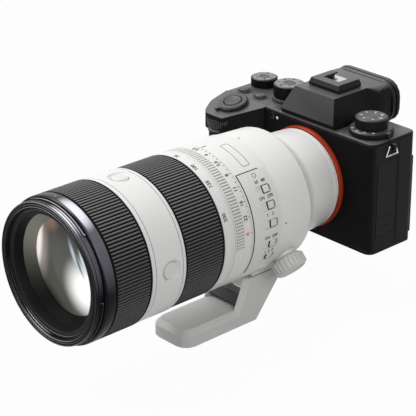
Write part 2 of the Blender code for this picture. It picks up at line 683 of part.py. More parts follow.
def make_front_ring(looks):
    bore = TUBE_RADIUS + SEAT_GAP
    back = FOCUS_FRONT + RUN_GAP
    groove = LIP_RADIUS - HOOD_GROOVE_DEPTH
    flange = HOOD_BACK - FLANGE_THICKNESS - EDGE
    profile = [
        (bore, back),
        (FOCUS_RADIUS - EDGE, back),
        (FOCUS_RADIUS, back + EDGE),
        (FOCUS_RADIUS, HOOD_BACK - EDGE),
        (FOCUS_RADIUS - EDGE, HOOD_BACK),
        (groove, HOOD_BACK),
        (groove, HOOD_BACK + HOOD_GROOVE_WIDTH),
        (LIP_RADIUS, HOOD_BACK + HOOD_GROOVE_WIDTH),
        (LIP_RADIUS, LENS_FRONT - EDGE),
        (LIP_RADIUS - EDGE, LENS_FRONT),
        (FILTER_RADIUS + EDGE, LENS_FRONT),
        (FILTER_RADIUS, LENS_FRONT - EDGE),
        (FILTER_RADIUS, HOOD_BACK),
        (CLEAR_RADIUS, flange + FLANGE_THICKNESS),
        (CLEAR_RADIUS, flange),
        (bore, flange),
    ]
    piece("front_ring", turned(profile), looks["black_metal"])


def dome(radius, edge, crown, shares):
    """Profile of a glass face that swells by the crown, at shares of its radius."""
    return [(radius * share, edge + crown * (1 - share * share)) for share in shares]


def crowned(radius, back, front, crown, shares):
    """A glass group: a drum whose front face swells by the crown."""
    return turned([(0, back), (radius, back), *dome(radius, front, crown, (1, *shares, 0))], solid=True)


def make_glass(looks):
    radius = TUBE_BORE - SEAT_GAP
    rim = radius - GLASS_RIM_WALL
    clear = rim - GLASS_RIM_SLOPE
    edge = FRONT_GLASS_BACK + FRONT_GLASS_RIM
    second = TUBE_BORE - GLASS_SEAT_STEPS * GLASS_SEAT_STEP - SEAT_GAP
    start = FRONT_GLASS_BACK - REAR_GLASS_LENGTH
    profile = [
        (0, start),
        (second, start),
        (second, FRONT_GLASS_BACK),
        (radius, FRONT_GLASS_BACK),
        (radius, edge + GLASS_RIM_HEIGHT),
        (rim, edge + GLASS_RIM_HEIGHT),
        *dome(clear, edge, FRONT_GLASS_CROWN, (1, 0.93, 0.7, 0.4, 0)),
    ]
    piece("front_element", turned(profile, solid=True), looks["glass"])
    radius = TUBE_BORE - RUN_GAP
    for name, back, length in (
        ("zoom_group", ZOOM_GROUP_BACK, ZOOM_GROUP_LENGTH),
        ("focus_group", FOCUS_GROUP_BACK, FOCUS_GROUP_LENGTH),
    ):
        shape = crowned(radius, back, back + length, GROUP_CROWN, (0.9,))
        piece(name, shape, looks["glass"], AHEAD * (back + length / 2))


def make_collar(looks):
    back = COLLAR_BACK + RUN_GAP
    front = COLLAR_FRONT - RUN_GAP
    disc = [
        (0, back),
        (COLLAR_BACK_RADIUS - EDGE, back),
        (COLLAR_BACK_RADIUS, back + EDGE),
        (COLLAR_RADIUS, front - EDGE),
        (COLLAR_RADIUS - EDGE, front),
        (0, front),
    ]
    collar = piece("collar_ring", turned(disc, solid=True), looks["white"])
    half = FOOT_WIDTH / 2
    low = (-half, COLLAR_BLOCK_INSET - front, -COLLAR_BLOCK_DROP)
    high = (half, -COLLAR_BLOCK_INSET - back, -COLLAR_SEAT / 2)
    boss_end = COLLAR_RADIUS + KNOB_BOSS_HEIGHT
    place = AHEAD * KNOB_STATION
    out = spoke(KNOB_ANGLE)
    fuse(collar, block(low, high), drum(KNOB_BOSS_RADIUS, COLLAR_SEAT / 2, boss_end, place, out))
    cut(collar, drum(COLLAR_SEAT + RUN_GAP, back - COLLAR_WIDTH, front + COLLAR_WIDTH, steps=LENS_STEPS))
    start = boss_end + SEAT_GAP
    knob = [
        (0, start),
        (KNOB_RADIUS - 2 * EDGE, start),
        (KNOB_RADIUS, start + 2 * EDGE),
        (KNOB_RADIUS, start + KNOB_THICKNESS - 3 * EDGE),
        (KNOB_RADIUS - 3 * EDGE, start + KNOB_THICKNESS),
        (0, start + KNOB_THICKNESS),
    ]
    shape = turned(knob, place, out, DIAL_STEPS, solid=True)
    piece("collar_knob", shape, looks["white_trim"], place + out * start)


def make_foot(looks):
    half = FOOT_WIDTH / 2
    side = [
        (-FOOT_TOE, FOOT_BASE),
        (-FOOT_HEEL, FOOT_BASE),
        (-LEG_TOP_BACK, LEG_TOP - LEG_BACK_DROP),
        (-LEG_TOP_BACK, LEG_TOP),
        (-LEG_TOP_FRONT, LEG_TOP),
        (-FOOT_INNER_CORNER, FOOT_TOP),
        (-FOOT_TOE, FOOT_TOP),
    ]
    shape = slab(side, -half, half, "X")
    near = 0.01 * MM

    def toe_corner(a, b):
        return abs(a.y + FOOT_TOE) < near and abs(b.y + FOOT_TOE) < near and abs(a.z - b.z) > near

    def top_edge(a, b):
        above = min(a.z, b.z) > FOOT_TOP - near
        ahead = max(a.y, b.y) < near - LEG_TOP_FRONT
        crossing = abs(a.y - b.y) < near and abs(a.y + FOOT_TOE) > near
        return above and ahead and not crossing

    bevelled(shape, toe_corner, FOOT_TOE_RADIUS, 3)
    bevelled(shape, top_edge, FOOT_CHAMFER)
    foot = piece("foot", shape, looks["white"])
    inner = half - STRUT
    cut(foot, block((-inner, -FOOT_TOE, FOOT_TOP + near), (inner, 0, LEG_TOP - LEG_BRIDGE)))
    lean = radians(BRACE_LEAN)
    low_edge = Vector((0, BRACE_SET_BACK - FOOT_INNER_CORNER, FOOT_TOP + BRACE_LIFT))
    reach = inner - SEAT_GAP
    brace = block(
        low_edge + Vector((-reach, 0, 0)), low_edge + Vector((reach, BRACE_THICKNESS, BRACE_HEIGHT))
    )
    piece("foot_brace", leaned(brace, -lean, low_edge), looks["rubber"])


def grip_outline(seam, rear, front):
    """The grip from above, from its seam with the front shell round to its outer side."""
    shoulder = BODY_FRONT - 2 * EDGE
    share = (front - GRIP_FRONT) / (shoulder - GRIP_FRONT)
    inner = GRIP_NOSE_INNER + share * (seam - GRIP_NOSE_INNER)
    return [
        (seam, rear, 0),
        (BODY_RIGHT, rear, 0),
        (BODY_RIGHT, GRIP_OUTER_START, GRIP_SIDE_ROUND),
        (GRIP_NOSE_OUTER, front, GRIP_NOSE_ROUND),
        (inner, front, GRIP_INNER_ROUND),
        (seam, shoulder, GRIP_SEAM_ROUND),
    ]


def side_lug(side, face, behind):
    """A strap lug that stands out of a side wall, with its eye."""
    ends = sorted((face - side * WALL / 2, face + side * LUG_REACH))
    low = (ends[0], behind - LUG_WIDTH / 2, LUG_HEIGHT - LUG_TALL / 2)
    high = (ends[1], behind + LUG_WIDTH / 2, LUG_HEIGHT + LUG_TALL / 2)
    return block(low, high)


def lug_eye(side, face, behind):
    """The middle of a lug's eye."""
    return Vector((face + side * (LUG_REACH - 2 * LUG_HOLE), behind, LUG_HEIGHT))


def add_lug(target, side, face, behind):
    eye = lug_eye(side, face, behind)
    fuse(target, side_lug(side, face, behind))
    cut(target, drum(LUG_HOLE, -LUG_WIDTH, LUG_WIDTH, eye, BACK))


def make_strap_ring(name, side, face, behind, looks):
    """A triangular wire ring that hangs from a lug's eye."""
    eye = lug_eye(side, face, behind)
    corners = [
        (-RING_TOP_HALF, 0),
        (RING_TOP_HALF, 0),
        (RING_LOW_HALF, -RING_DROP),
        (-RING_LOW_HALF, -RING_DROP),
    ]
    sides = 6
    loops = []
    for index, (a, b) in enumerate(corners):
        here = Vector((a, b))
        before = (here - Vector(corners[index - 1])).normalized()
        after = (Vector(corners[(index + 1) % len(corners)]) - here).normalized()
        across = Vector((before.y + after.y, -before.x - after.x)).normalized()
        stretch = 1 / across.dot(Vector((after.y, -after.x)))
        loop = []
        for step in range(sides):
            turn = 2 * pi * step / sides
            flat = here + across * (RING_WIRE * stretch * cos(turn))
            loop.append(eye + Vector((RING_WIRE * sin(turn), flat.x, flat.y)))
        loops.append(loop)
    shape = bmesh.new()
    rows = [[shape.verts.new(point) for point in loop] for loop in loops]
    for row, following in zip(rows, rows[1:] + rows[:1]):
        for step in range(sides):
            after = (step + 1) % sides
            shape.faces.new((row[step], row[after], following[after], following[step]))
    piece(name, shape, looks["steel"], eye)


def make_front_shell(looks):
    outline = rounded(
        [
            (GRIP_SEAM, BODY_FRONT, 0),
            (BODY_LEFT, BODY_FRONT, FRONT_CORNER),
            (BODY_LEFT, BODY_SPLIT, 0),
            (GRIP_SEAM, BODY_SPLIT, 0),
        ]
    )
    shell = piece("front_shell", slab(outline, CASE_LOW, CASE_TOP), looks["body"])
    hollow = block(
        (GRIP_SEAM + WALL, BODY_FRONT + WALL, CASE_LOW + WALL),
        (BODY_LEFT - WALL, BODY_SPLIT + WALL, CASE_TOP - WALL),
    )
    throat = drum(THROAT_RADIUS, -BODY_SPLIT, BODY_FRONT, steps=LENS_STEPS)
    x, z = RELEASE_PLACE
    well = drum(RELEASE_RADIUS + RUN_GAP, -BODY_FRONT - 2 * WALL, BODY_FRONT, Vector((x, 0, z)))
    pocket = DOOR_THICKNESS + SEAT_GAP
    doors = block(
        (BODY_LEFT - pocket, PORT_DOOR_FRONT - RUN_GAP, TERMINAL_DOOR_LOW - RUN_GAP),
        (BODY_LEFT + WALL, PORT_DOOR_BACK + RUN_GAP, PORT_DOOR_TOP + RUN_GAP),
    )
    cut(shell, hollow, throat, well, doors)
    add_lug(shell, 1, BODY_LEFT, LUG_LEFT_BEHIND)


def make_mount(looks):
    plate = ring_profile(THROAT_RADIUS, MOUNT_PLATE_RADIUS, SEAT_GAP - BODY_FRONT, 0)
    piece("body_mount", turned(plate), looks["steel"])
    inner = MOUNT_PLATE_RADIUS + SEAT_GAP
    back = SEAT_GAP - BODY_FRONT
    trim = [
        (inner, back),
        (inner + TRIM_WIDTH, back),
        (inner + TRIM_WIDTH, back + EDGE),
        (inner + TRIM_WIDTH - TRIM_TAPER, 0),
        (inner, 0),
    ]
    piece("mount_trim", turned(trim), looks["orange"])
    x, z = RELEASE_PLACE
    place = Vector((x, 0, z))
    low = -BODY_FRONT - WALL
    button = drum(RELEASE_RADIUS, low, RELEASE_PROUD - BODY_FRONT, place, edge=EDGE)
    piece("lens_release_button", button, looks["body"], place + BACK * BODY_FRONT)


def make_doors(looks):
    inside = BODY_LEFT - DOOR_THICKNESS
    for name, low, high in (
        ("port_door", PORT_DOOR_LOW, PORT_DOOR_TOP),
        ("terminal_door", TERMINAL_DOOR_LOW, PORT_DOOR_LOW - RUN_GAP),
    ):
        shape = block((inside, PORT_DOOR_FRONT, low), (BODY_LEFT, PORT_DOOR_BACK, high))
        piece(name, shape, looks["body"], (BODY_LEFT, PORT_DOOR_FRONT, (low + high) / 2))
    shape = block(
        (BODY_RIGHT, CARD_DOOR_FRONT, CARD_DOOR_LOW),
        (BODY_RIGHT + DOOR_THICKNESS, CARD_DOOR_BACK, CARD_DOOR_TOP),
    )
    middle = (CARD_DOOR_LOW + CARD_DOOR_TOP) / 2
    piece("card_door", shape, looks["body"], (BODY_RIGHT, CARD_DOOR_FRONT, middle))


def battery_bay():
    """The battery's box in the grip: its low and high corners."""
    width, depth, height = BATTERY_SIZE
    low = Vector((BODY_RIGHT + BATTERY_INSET, BATTERY_BEHIND - depth, CASE_LOW + SEAT_GAP))
    return low, low + Vector((width, depth, height))


def battery_space():
    """The hollow that the battery slides into, from below."""
    low, high = battery_bay()
    margin = Vector((SEAT_GAP, SEAT_GAP, SEAT_GAP))
    return block(low - margin - Vector((0, 0, WALL)), high + margin)


def battery_door_box():
    low, high = battery_bay()
    base = BODY_BASE + BASE_THICKNESS
    return (
        Vector((low.x - BATTERY_DOOR_RIM, low.y - BATTERY_DOOR_RIM, BODY_BASE)),
        Vector((high.x + BATTERY_DOOR_RIM, high.y + BATTERY_DOOR_RIM, base)),
    )


def make_grip(looks):
    seam = GRIP_SEAM - SEAT_GAP
    outline = rounded(grip_outline(seam, BODY_SPLIT, GRIP_FRONT_LOW))
    grip = piece("grip", slab(outline, CASE_LOW, GRIP_NOSE_LOW), looks["rubber_grip"])
    nose = rounded(grip_outline(seam, BODY_SPLIT, GRIP_FRONT))
    fuse(grip, slab(nose, GRIP_NOSE_LOW - EDGE, BODY_DECK + WALL))
    far = 2 * (BODY_LEFT - BODY_RIGHT)
    behind_ledge = block((-far, GRIP_LEDGE, CASE_TOP), (far, far, far))
    above_slope = block((-far, -far, BODY_DECK), (far, far, far))
    leaned(above_slope, SLOPE, Vector((0, GRIP_LEDGE, BODY_DECK)))
    low, high = battery_bay()
    dial_place, dial_low, dial_high = front_dial_place()
    slot = drum(
        FRONT_DIAL_RADIUS + RUN_GAP,
        dial_low - RUN_GAP,
        dial_high + RUN_GAP,
        dial_place,
        SLOPE_NORMAL,
        DIAL_STEPS,
    )
    rest_top = dial_low - 2 * RUN_GAP
    rest = drum(
        FRONT_DIAL_RADIUS + FINGER_REST_STEP,
        rest_top - FINGER_REST_THICKNESS,
        rest_top,
        dial_place,
        SLOPE_NORMAL,
        DIAL_STEPS,
        edge=2 * EDGE,
    )
    fuse(grip, rest)
    shutter_well = drum(
        SHUTTER_RADIUS + RUN_GAP,
        -SHUTTER_TRAVEL - SEAT_GAP,
        WALL,
        on_slope(*SHUTTER_PLACE),
        SLOPE_NORMAL,
        DIAL_STEPS,
    )
    cut(grip, behind_ledge, above_slope, battery_space(), slot, shutter_well)
    add_lug(grip, -1, BODY_RIGHT, LUG_RIGHT_BEHIND)
    piece("battery", block(low, high), looks["dark_plastic"])
    door_low, door_high = battery_door_box()
    hinge = Vector((door_high.x, (door_low.y + door_high.y) / 2, BODY_BASE))
    piece("battery_door", block(door_low, door_high), looks["body"], hinge)


def front_dial_place():
    """The front dial's centre on the grip's slope, and its ends along the slope's normal."""
    back_from_front = (FRONT_DIAL_RADIUS - FRONT_DIAL_PROUD) / cos(SLOPE)
    top = on_slope(FRONT_DIAL_X, GRIP_FRONT + back_from_front)
    return top, -FRONT_DIAL_DROP - FRONT_DIAL_THICKNESS, -FRONT_DIAL_DROP


def make_grip_controls(looks):
    place, low, high = front_dial_place()
    dial = turned(
        [(0, low), (FRONT_DIAL_RADIUS, low), (FRONT_DIAL_RADIUS, high), (0, high)],
        place,
        SLOPE_NORMAL,
        DIAL_STEPS,
        solid=True,
    )
    piece("front_dial", dial, looks["knurled"], place)
    place = on_slope(*SHUTTER_PLACE)
    button = drum(SHUTTER_RADIUS, 0, SHUTTER_PROUD, place, SLOPE_NORMAL, DIAL_STEPS, edge=EDGE)
    piece("shutter_button", button, looks["gloss"], place)
    collar = ring_profile(SHUTTER_RADIUS + RUN_GAP, POWER_RADIUS, SEAT_GAP, POWER_HEIGHT, edge=2 * EDGE)
    lever = piece("power_lever", turned(collar, place, SLOPE_NORMAL, DIAL_STEPS), looks["body"], place)
    mid = (SHUTTER_RADIUS + POWER_RADIUS) / 2
    tab = block(
        (-POWER_TAB / 2, -POWER_RADIUS - POWER_TAB, 2 * SEAT_GAP),
        (POWER_TAB / 2, -mid, POWER_HEIGHT - EDGE),
    )
    leaned(tab, radians(POWER_TAB_TURN), MOUNT, "Z")
    leaned(tab, SLOPE, MOUNT)
    bmesh.ops.translate(tab, verts=tab.verts, vec=place)
    fuse(lever, tab)


def make_rear_cover(looks):
    outline = rounded(
        [
            (BODY_RIGHT, BODY_SPLIT + SEAT_GAP, 0),
            (BODY_LEFT, BODY_SPLIT + SEAT_GAP, 0),
            (BODY_LEFT, BODY_REAR, REAR_CORNER),
            (BODY_RIGHT, BODY_REAR, REAR_CORNER),
        ]
    )
    cover = piece("rear_cover", slab(outline, CASE_LOW, CASE_TOP), looks["body"])
    hollow = block(
        (BODY_RIGHT + WALL, BODY_SPLIT - WALL, CASE_LOW + WALL),
        (BODY_LEFT - WALL, BODY_REAR - REAR_WALL, CASE_TOP - WALL),
    )
    arm_bay = block(
        (MONITOR_RIGHT - RUN_GAP, BODY_REAR - ARM_THICKNESS - 2 * SEAT_GAP, MONITOR_LOW - RUN_GAP),
        (MONITOR_LEFT + RUN_GAP, BODY_REAR + WALL, MONITOR_TOP + RUN_GAP),
    )
    card_bay = block(
        (BODY_RIGHT - WALL, CARD_DOOR_FRONT - RUN_GAP, CARD_DOOR_LOW - RUN_GAP),
        (BODY_RIGHT + DOOR_THICKNESS + SEAT_GAP, CARD_DOOR_BACK + RUN_GAP, CARD_DOOR_TOP + RUN_GAP),
    )
    dial_place, dial_low, dial_high = rear_dial_place()
    slot_radius = REAR_DIAL_RADIUS + RUN_GAP
    dial_slot = drum(slot_radius, dial_low - RUN_GAP, dial_high + RUN_GAP, dial_place, UP, DIAL_STEPS)
    cut(cover, hollow, arm_bay, card_bay, dial_slot, battery_space())
    wells = [MENU_BUTTON, AF_ON_BUTTON, (*CENTRE_PLACE, CENTRE_RADIUS)]
    for x, z, radius in wells:
        place = Vector((x, BODY_REAR, z))
        cut(cover, drum(radius + RUN_GAP, -BUTTON_WELL, BUTTON_WELL, place, BACK))
    x, z = JOYSTICK_PLACE
    place = Vector((x, BODY_REAR, z))
    cut(cover, drum(2 * JOYSTICK_STEM, -BUTTON_WELL, BUTTON_WELL, place, BACK))


def rear_dial_place():
    """The rear dial's centre and the heights of its two ends."""
    high = CASE_TOP - WALL - RUN_GAP
    place = Vector((REAR_DIAL_X, BODY_REAR + REAR_DIAL_PROUD - REAR_DIAL_RADIUS, 0))
    return place, high - REAR_DIAL_THICKNESS, high


def make_rear_controls(looks):
    place, low, high = rear_dial_place()
    piece("rear_dial", drum(REAR_DIAL_RADIUS, low, high, place, UP, DIAL_STEPS), looks["knurled"], place)
    low = SEAT_GAP + BUTTON_TRAVEL - BUTTON_WELL
    for name, (x, z, radius), proud in (
        ("menu_button", MENU_BUTTON, BUTTON_PROUD),
        ("af_on_button", AF_ON_BUTTON, BUTTON_PROUD),
        ("centre_button", (*CENTRE_PLACE, CENTRE_RADIUS), WHEEL_THICKNESS + 2 * EDGE),
    ):
        place = Vector((x, BODY_REAR, z))
        piece(name, drum(radius, low, proud, place, BACK, edge=EDGE), looks["dark_plastic"], place)
    x, z = CENTRE_PLACE
    place = Vector((x, BODY_REAR, z))
    wheel = ring_profile(CENTRE_RADIUS + RUN_GAP, WHEEL_RADIUS, SEAT_GAP, SEAT_GAP + WHEEL_THICKNESS)
    piece("control_wheel", turned(wheel, place, BACK, DIAL_STEPS), looks["knurled"], place)
    x, z = JOYSTICK_PLACE
    base = Vector((x, BODY_REAR - BUTTON_WELL + SEAT_GAP, z))
    neck = BUTTON_WELL - SEAT_GAP + JOYSTICK_LIFT
    stick = [
        (0, 0),
        (JOYSTICK_STEM, 0),
        (JOYSTICK_STEM, neck),
        (JOYSTICK_RADIUS, neck),
        (JOYSTICK_RADIUS, neck + JOYSTICK_HEIGHT - EDGE),
        (JOYSTICK_RADIUS - EDGE, neck + JOYSTICK_HEIGHT),
        (0, neck + JOYSTICK_HEIGHT),
    ]
    piece("joystick", turned(stick, base, BACK, BUTTON_STEPS, solid=True), looks["rubber"], base)


def make_monitor(looks):
    back = BODY_REAR - ARM_THICKNESS - SEAT_GAP
    face = BODY_REAR
    arm = block(
        (MONITOR_RIGHT + ARM_INSET, back, MONITOR_LOW + ARM_HINGE_RISE),
        (MONITOR_LEFT - ARM_INSET, face - SEAT_GAP, MONITOR_TOP),
    )
    middle = (MONITOR_LEFT + MONITOR_RIGHT) / 2
    piece("monitor_arm", arm, looks["dark_plastic"], (middle, face, MONITOR_LOW + ARM_HINGE_RISE))
    panel = block((MONITOR_RIGHT, face, MONITOR_LOW), (MONITOR_LEFT, face + MONITOR_THICKNESS, MONITOR_TOP))
    bevelled(panel, lambda a, b: min(a.y, b.y) > face + EDGE, 2 * EDGE)
    piece("monitor", panel, looks["gloss"], (middle, face + MONITOR_THICKNESS / 2, MONITOR_TOP))


def make_base_plate(looks):
    outline = rounded(
        [
            (BODY_LEFT, BODY_FRONT, FRONT_CORNER),
            (BODY_LEFT, BODY_REAR, REAR_CORNER),
            (BODY_RIGHT, BODY_REAR, REAR_CORNER),
            *grip_outline(GRIP_SEAM, BODY_FRONT, GRIP_FRONT_LOW)[2:5],
            (GRIP_SEAM, BODY_FRONT, 0),
        ]
    )
    base = piece("base_plate", slab(outline, BODY_BASE, BODY_BASE + BASE_THICKNESS), looks["body"])
    low, high = battery_door_box()
    margin = Vector((RUN_GAP, RUN_GAP, WALL))
    bush = drum(TRIPOD_RADIUS, -2 * WALL, 2 * WALL, Vector((0, TRIPOD_BEHIND, BODY_BASE)), UP)
    cut(base, block(low - margin, high + margin), bush)


def make_inside(looks):
    low = CASE_LOW + WALL + SEAT_GAP
    high = CASE_TOP - WALL - SEAT_GAP
    back = SENSOR_FRONT + SENSOR_SIZE[2]
    carrier = piece(
        "image_sensor",
        block((-CARRIER_HALF, back, low), (CARRIER_HALF, back + CARRIER_THICKNESS, high)),
        looks["sensor"],
    )
    width, height, depth = SENSOR_SIZE
    chip = block((-width / 2, SENSOR_FRONT, -height / 2), (width / 2, back + depth, height / 2))
    fuse(carrier, chip)
    front = back + CARRIER_THICKNESS + BOARD_GAP
    board = block(
        (GRIP_SEAM + WALL + BOARD_MARGIN, front, low),
        (BODY_LEFT - WALL - BOARD_MARGIN, front + BOARD_THICKNESS, high),
    )
    piece("main_board", board, looks["board"])


def hump_loop(half, front, height):
    ahead = [(-half, front, height), (half, front, height)]
    return [*ahead, (half, HUMP_REAR, height), (-half, HUMP_REAR, height)]


def housing_loop(half, foot_half, height, corner, y):
    """The outline of the viewfinder housing at one place behind the mount."""
    sunk = BODY_DECK - DECK_THICKNESS / 2
    corners = [(-foot_half, sunk, 0), (foot_half, sunk, 0), (half, height, corner), (-half, height, corner)]
    return [(point.x, y, point.y) for point in rounded(corners)]


def make_top_cover(looks):
    ledge = GRIP_LEDGE + SEAT_GAP
    outline = rounded(
        [
            (BODY_LEFT, BODY_FRONT, FRONT_CORNER),
            (BODY_LEFT, BODY_REAR, REAR_CORNER),
            (BODY_RIGHT, BODY_REAR, REAR_CORNER),
            (BODY_RIGHT, ledge, 0),
            (GRIP_SEAM, ledge, 0),
            (GRIP_SEAM, BODY_FRONT, 0),
        ]
    )
    near = 0.01 * MM

    def deck_edge(a, b):
        at_grip = max(a.x, b.x) < GRIP_SEAM + near and max(a.y, b.y) < ledge + near
        return min(a.z, b.z) > BODY_DECK - near and not at_grip

    deck = bevelled(slab(outline, DECK_LOW, BODY_DECK), deck_edge, DECK_ROUND, 2)
    cover = piece("top_cover", deck, looks["body"])
    sunk = BODY_DECK - DECK_THICKNESS / 2
    hump = loft(
        [
            hump_loop(HUMP_FOOT_HALF, HUMP_FOOT_FRONT, sunk),
            hump_loop(HUMP_BROW_HALF, HUMP_BROW_FRONT, HUMP_BROW),
            hump_loop(HUMP_TOP_HALF, HUMP_TOP_FRONT, HUMP_TOP),
        ]
    )
    flare = loft(
        [
            housing_loop(HUMP_TOP_HALF, HUMP_FOOT_HALF, HUMP_TOP - near, EDGE, HOUSING_NECK),
            housing_loop(HOUSING_HALF, HOUSING_HALF, HOUSING_TOP, HOUSING_CORNER, HOUSING_FRONT),
            housing_loop(HOUSING_HALF, HOUSING_HALF, HOUSING_TOP, HOUSING_CORNER, HOUSING_REAR),
        ]
    )
    sill_outline = rounded(
        [
            (-HOUSING_HALF, HOUSING_LOW, HOUSING_CORNER / 2),
            (HOUSING_HALF, HOUSING_LOW, HOUSING_CORNER / 2),
            (HOUSING_HALF, BODY_DECK, 0),
            (-HOUSING_HALF, BODY_DECK, 0),
        ]
    )
    fuse(cover, hump, flare, slab(sill_outline, BODY_REAR + SEAT_GAP, HOUSING_REAR, "Y"))
    half = HUMP_TOP_HALF - HUMP_WALL
    hollow = block(
        (-half, HUMP_TOP_FRONT + HUMP_WALL, DECK_LOW - WALL),
        (half, HOUSING_REAR - 2 * HUMP_WALL, HUMP_TOP - HUMP_WALL),
    )
    middle = (EYECUP_LOW + EYECUP_TOP) / 2
    bay_half = EYEPIECE_HALF + SEAT_GAP
    bay_height = EYEPIECE_HEIGHT / 2 + SEAT_GAP
    eyepiece_bay = block(
        (-bay_half, HOUSING_REAR - EYEPIECE_DEPTH - 2 * SEAT_GAP, middle - bay_height),
        (bay_half, HOUSING_REAR + WALL, middle + bay_height),
    )
    cut(cover, hollow, eyepiece_bay)
    for x, y, *_ in (EXPOSURE_DIAL, MODE_DIAL, DRIVE_DIAL):
        cut(cover, drum(STUB_RADIUS + RUN_GAP, DECK_LOW - WALL, BODY_DECK + WALL, Vector((x, y, 0)), UP))
    for x, y in (TOP_BUTTON_NEAR, TOP_BUTTON_FAR):
        radius = TOP_BUTTON_RADIUS + RUN_GAP
        cut(cover, drum(radius, DECK_LOW - WALL, BODY_DECK + WALL, Vector((x, y, 0)), UP))
    shape = block(
        (-EYEPIECE_HALF, HOUSING_REAR - EYEPIECE_DEPTH - SEAT_GAP, middle - EYEPIECE_HEIGHT / 2),
        (EYEPIECE_HALF, HOUSING_REAR - SEAT_GAP, middle + EYEPIECE_HEIGHT / 2),
    )
    piece("eyepiece", shape, looks["glass"])


def shoe_loop(inset, height):
    half = SHOE_HALF - inset
    front, rear = SHOE_FRONT + inset, SHOE_REAR - inset
    return [(-half, front, height), (half, front, height), (half, rear, height), (-half, rear, height)]


def make_hot_shoe(looks):
    low = HUMP_TOP + SEAT_GAP
    floor = low + SHOE_BASE
    lip = floor + SHOE_SLOT
    top = lip + SHOE_LIP
    shape = loft([shoe_loop(0, low), shoe_loop(0, floor), shoe_loop(SHOE_SIDE_LEAN, top)])
    shoe = piece("hot_shoe", shape, looks["body"])
    behind = SHOE_REAR + SHOE_LIP
    slot = block((-SHOE_SLOT_HALF, SHOE_STOP, floor), (SHOE_SLOT_HALF, behind, lip))
    mouth = block((-SHOE_LIP_HALF, SHOE_STOP, floor), (SHOE_LIP_HALF, behind, top + SHOE_LIP))
    cut(shoe, slot, mouth)


def eyecup_loop(inset, y):
    low, high = EYECUP_LOW + inset, EYECUP_TOP - inset
    half = EYECUP_HALF - inset
    radius = EYECUP_CORNER - inset / 2
    corners = [(-half, low, radius), (half, low, radius), (half, high, radius), (-half, high, radius)]
    return [(point.x, y, point.y) for point in rounded(corners)]


def make_eyecup(looks):
    front = HOUSING_REAR + SEAT_GAP
    depth = EYECUP_REAR - front
    ridges = [(0.8, 0), (0.3, 0.08), (0.3, 0.36), (1, 0.42), (1, 0.48), (0, 0.56), (0, 0.88), (0.7, 1)]
    shape = loft([eyecup_loop(EYECUP_GROOVE * step, front + depth * share) for step, share in ridges])
    cup = piece("eyecup", shape, looks["rubber"])
    middle = (EYECUP_LOW + EYECUP_TOP) / 2
    low, high = middle - EYECUP_HOLE_HEIGHT / 2, middle + EYECUP_HOLE_HEIGHT / 2
    radius = EYECUP_CORNER / 2
    hole = rounded(
        [
            (-EYECUP_HOLE_HALF, low, radius),
            (EYECUP_HOLE_HALF, low, radius),
            (EYECUP_HOLE_HALF, high, radius),
            (-EYECUP_HOLE_HALF, high, radius),
        ]
    )
    cut(cup, slab(hole, front - WALL, EYECUP_REAR + WALL, "Y"))


def dial_profile(radius, start, height, base_radius=0.0, base_height=0.0):
    """A dial with its stub in the deck, a broken upper edge and sometimes a wider base."""
    foot = [(0, DECK_LOW), (STUB_RADIUS, DECK_LOW), (STUB_RADIUS, BODY_DECK + SEAT_GAP)]
    wide = []
    if base_height > 0:
        wide = [(base_radius, start), (base_radius, start + base_height)]
    body = [(radius, start + base_height), (radius, start + height - EDGE), (radius - EDGE, start + height)]
    return [*foot, *wide, *body, (0, start + height)]


def make_top_controls(looks):
    start = BODY_DECK + SEAT_GAP
    x, y, radius, height = EXPOSURE_DIAL
    place = Vector((x, y, 0))
    shape = turned(dial_profile(radius, start, height), place, UP, DIAL_STEPS, solid=True)
    piece("exposure_dial", shape, looks["knurled"], place)
    x, y, radius, height = MODE_DIAL
    place = Vector((x, y, 0))
    profile = dial_profile(radius, start, height, MODE_BASE_RADIUS, MODE_BASE_HEIGHT)
    piece("mode_dial", turned(profile, place, UP, DIAL_STEPS, solid=True), looks["knurled"], place)
    x, y, radius, height = DRIVE_DIAL
    place = Vector((x, y, 0))
    above = start + LEVER_HEIGHT + RUN_GAP
    hub = LEVER_BORE - RUN_GAP
    profile = dial_profile(radius, above, height)
    profile[3:3] = [(hub, start), (hub, above)]
    piece("drive_dial", turned(profile, place, UP, DIAL_STEPS, solid=True), looks["knurled"], place)
    collar = ring_profile(LEVER_BORE, LEVER_RADIUS, start, start + LEVER_HEIGHT, edge=2 * EDGE)
    lever = piece("focus_mode_lever", turned(collar, place, UP, DIAL_STEPS), looks["body"], place)
    mid = (LEVER_BORE + LEVER_RADIUS) / 2
    tab = block(
        (mid, -LEVER_TAB, start + SEAT_GAP),
        (LEVER_RADIUS + LEVER_TAB, LEVER_TAB, start + LEVER_HEIGHT - EDGE),
    )
    bmesh.ops.translate(tab, verts=tab.verts, vec=place)
    fuse(lever, tab)
    for name, (x, y) in (("top_button_near", TOP_BUTTON_NEAR), ("top_button_far", TOP_BUTTON_FAR)):
        place = Vector((x, y, 0))
        low = CASE_TOP + SEAT_GAP + BUTTON_TRAVEL
        cap = drum(TOP_BUTTON_RADIUS, low, BODY_DECK + TOP_BUTTON_PROUD, place, UP, edge=EDGE)
        piece(name, cap, looks["dark_plastic"], place + UP * BODY_DECK)


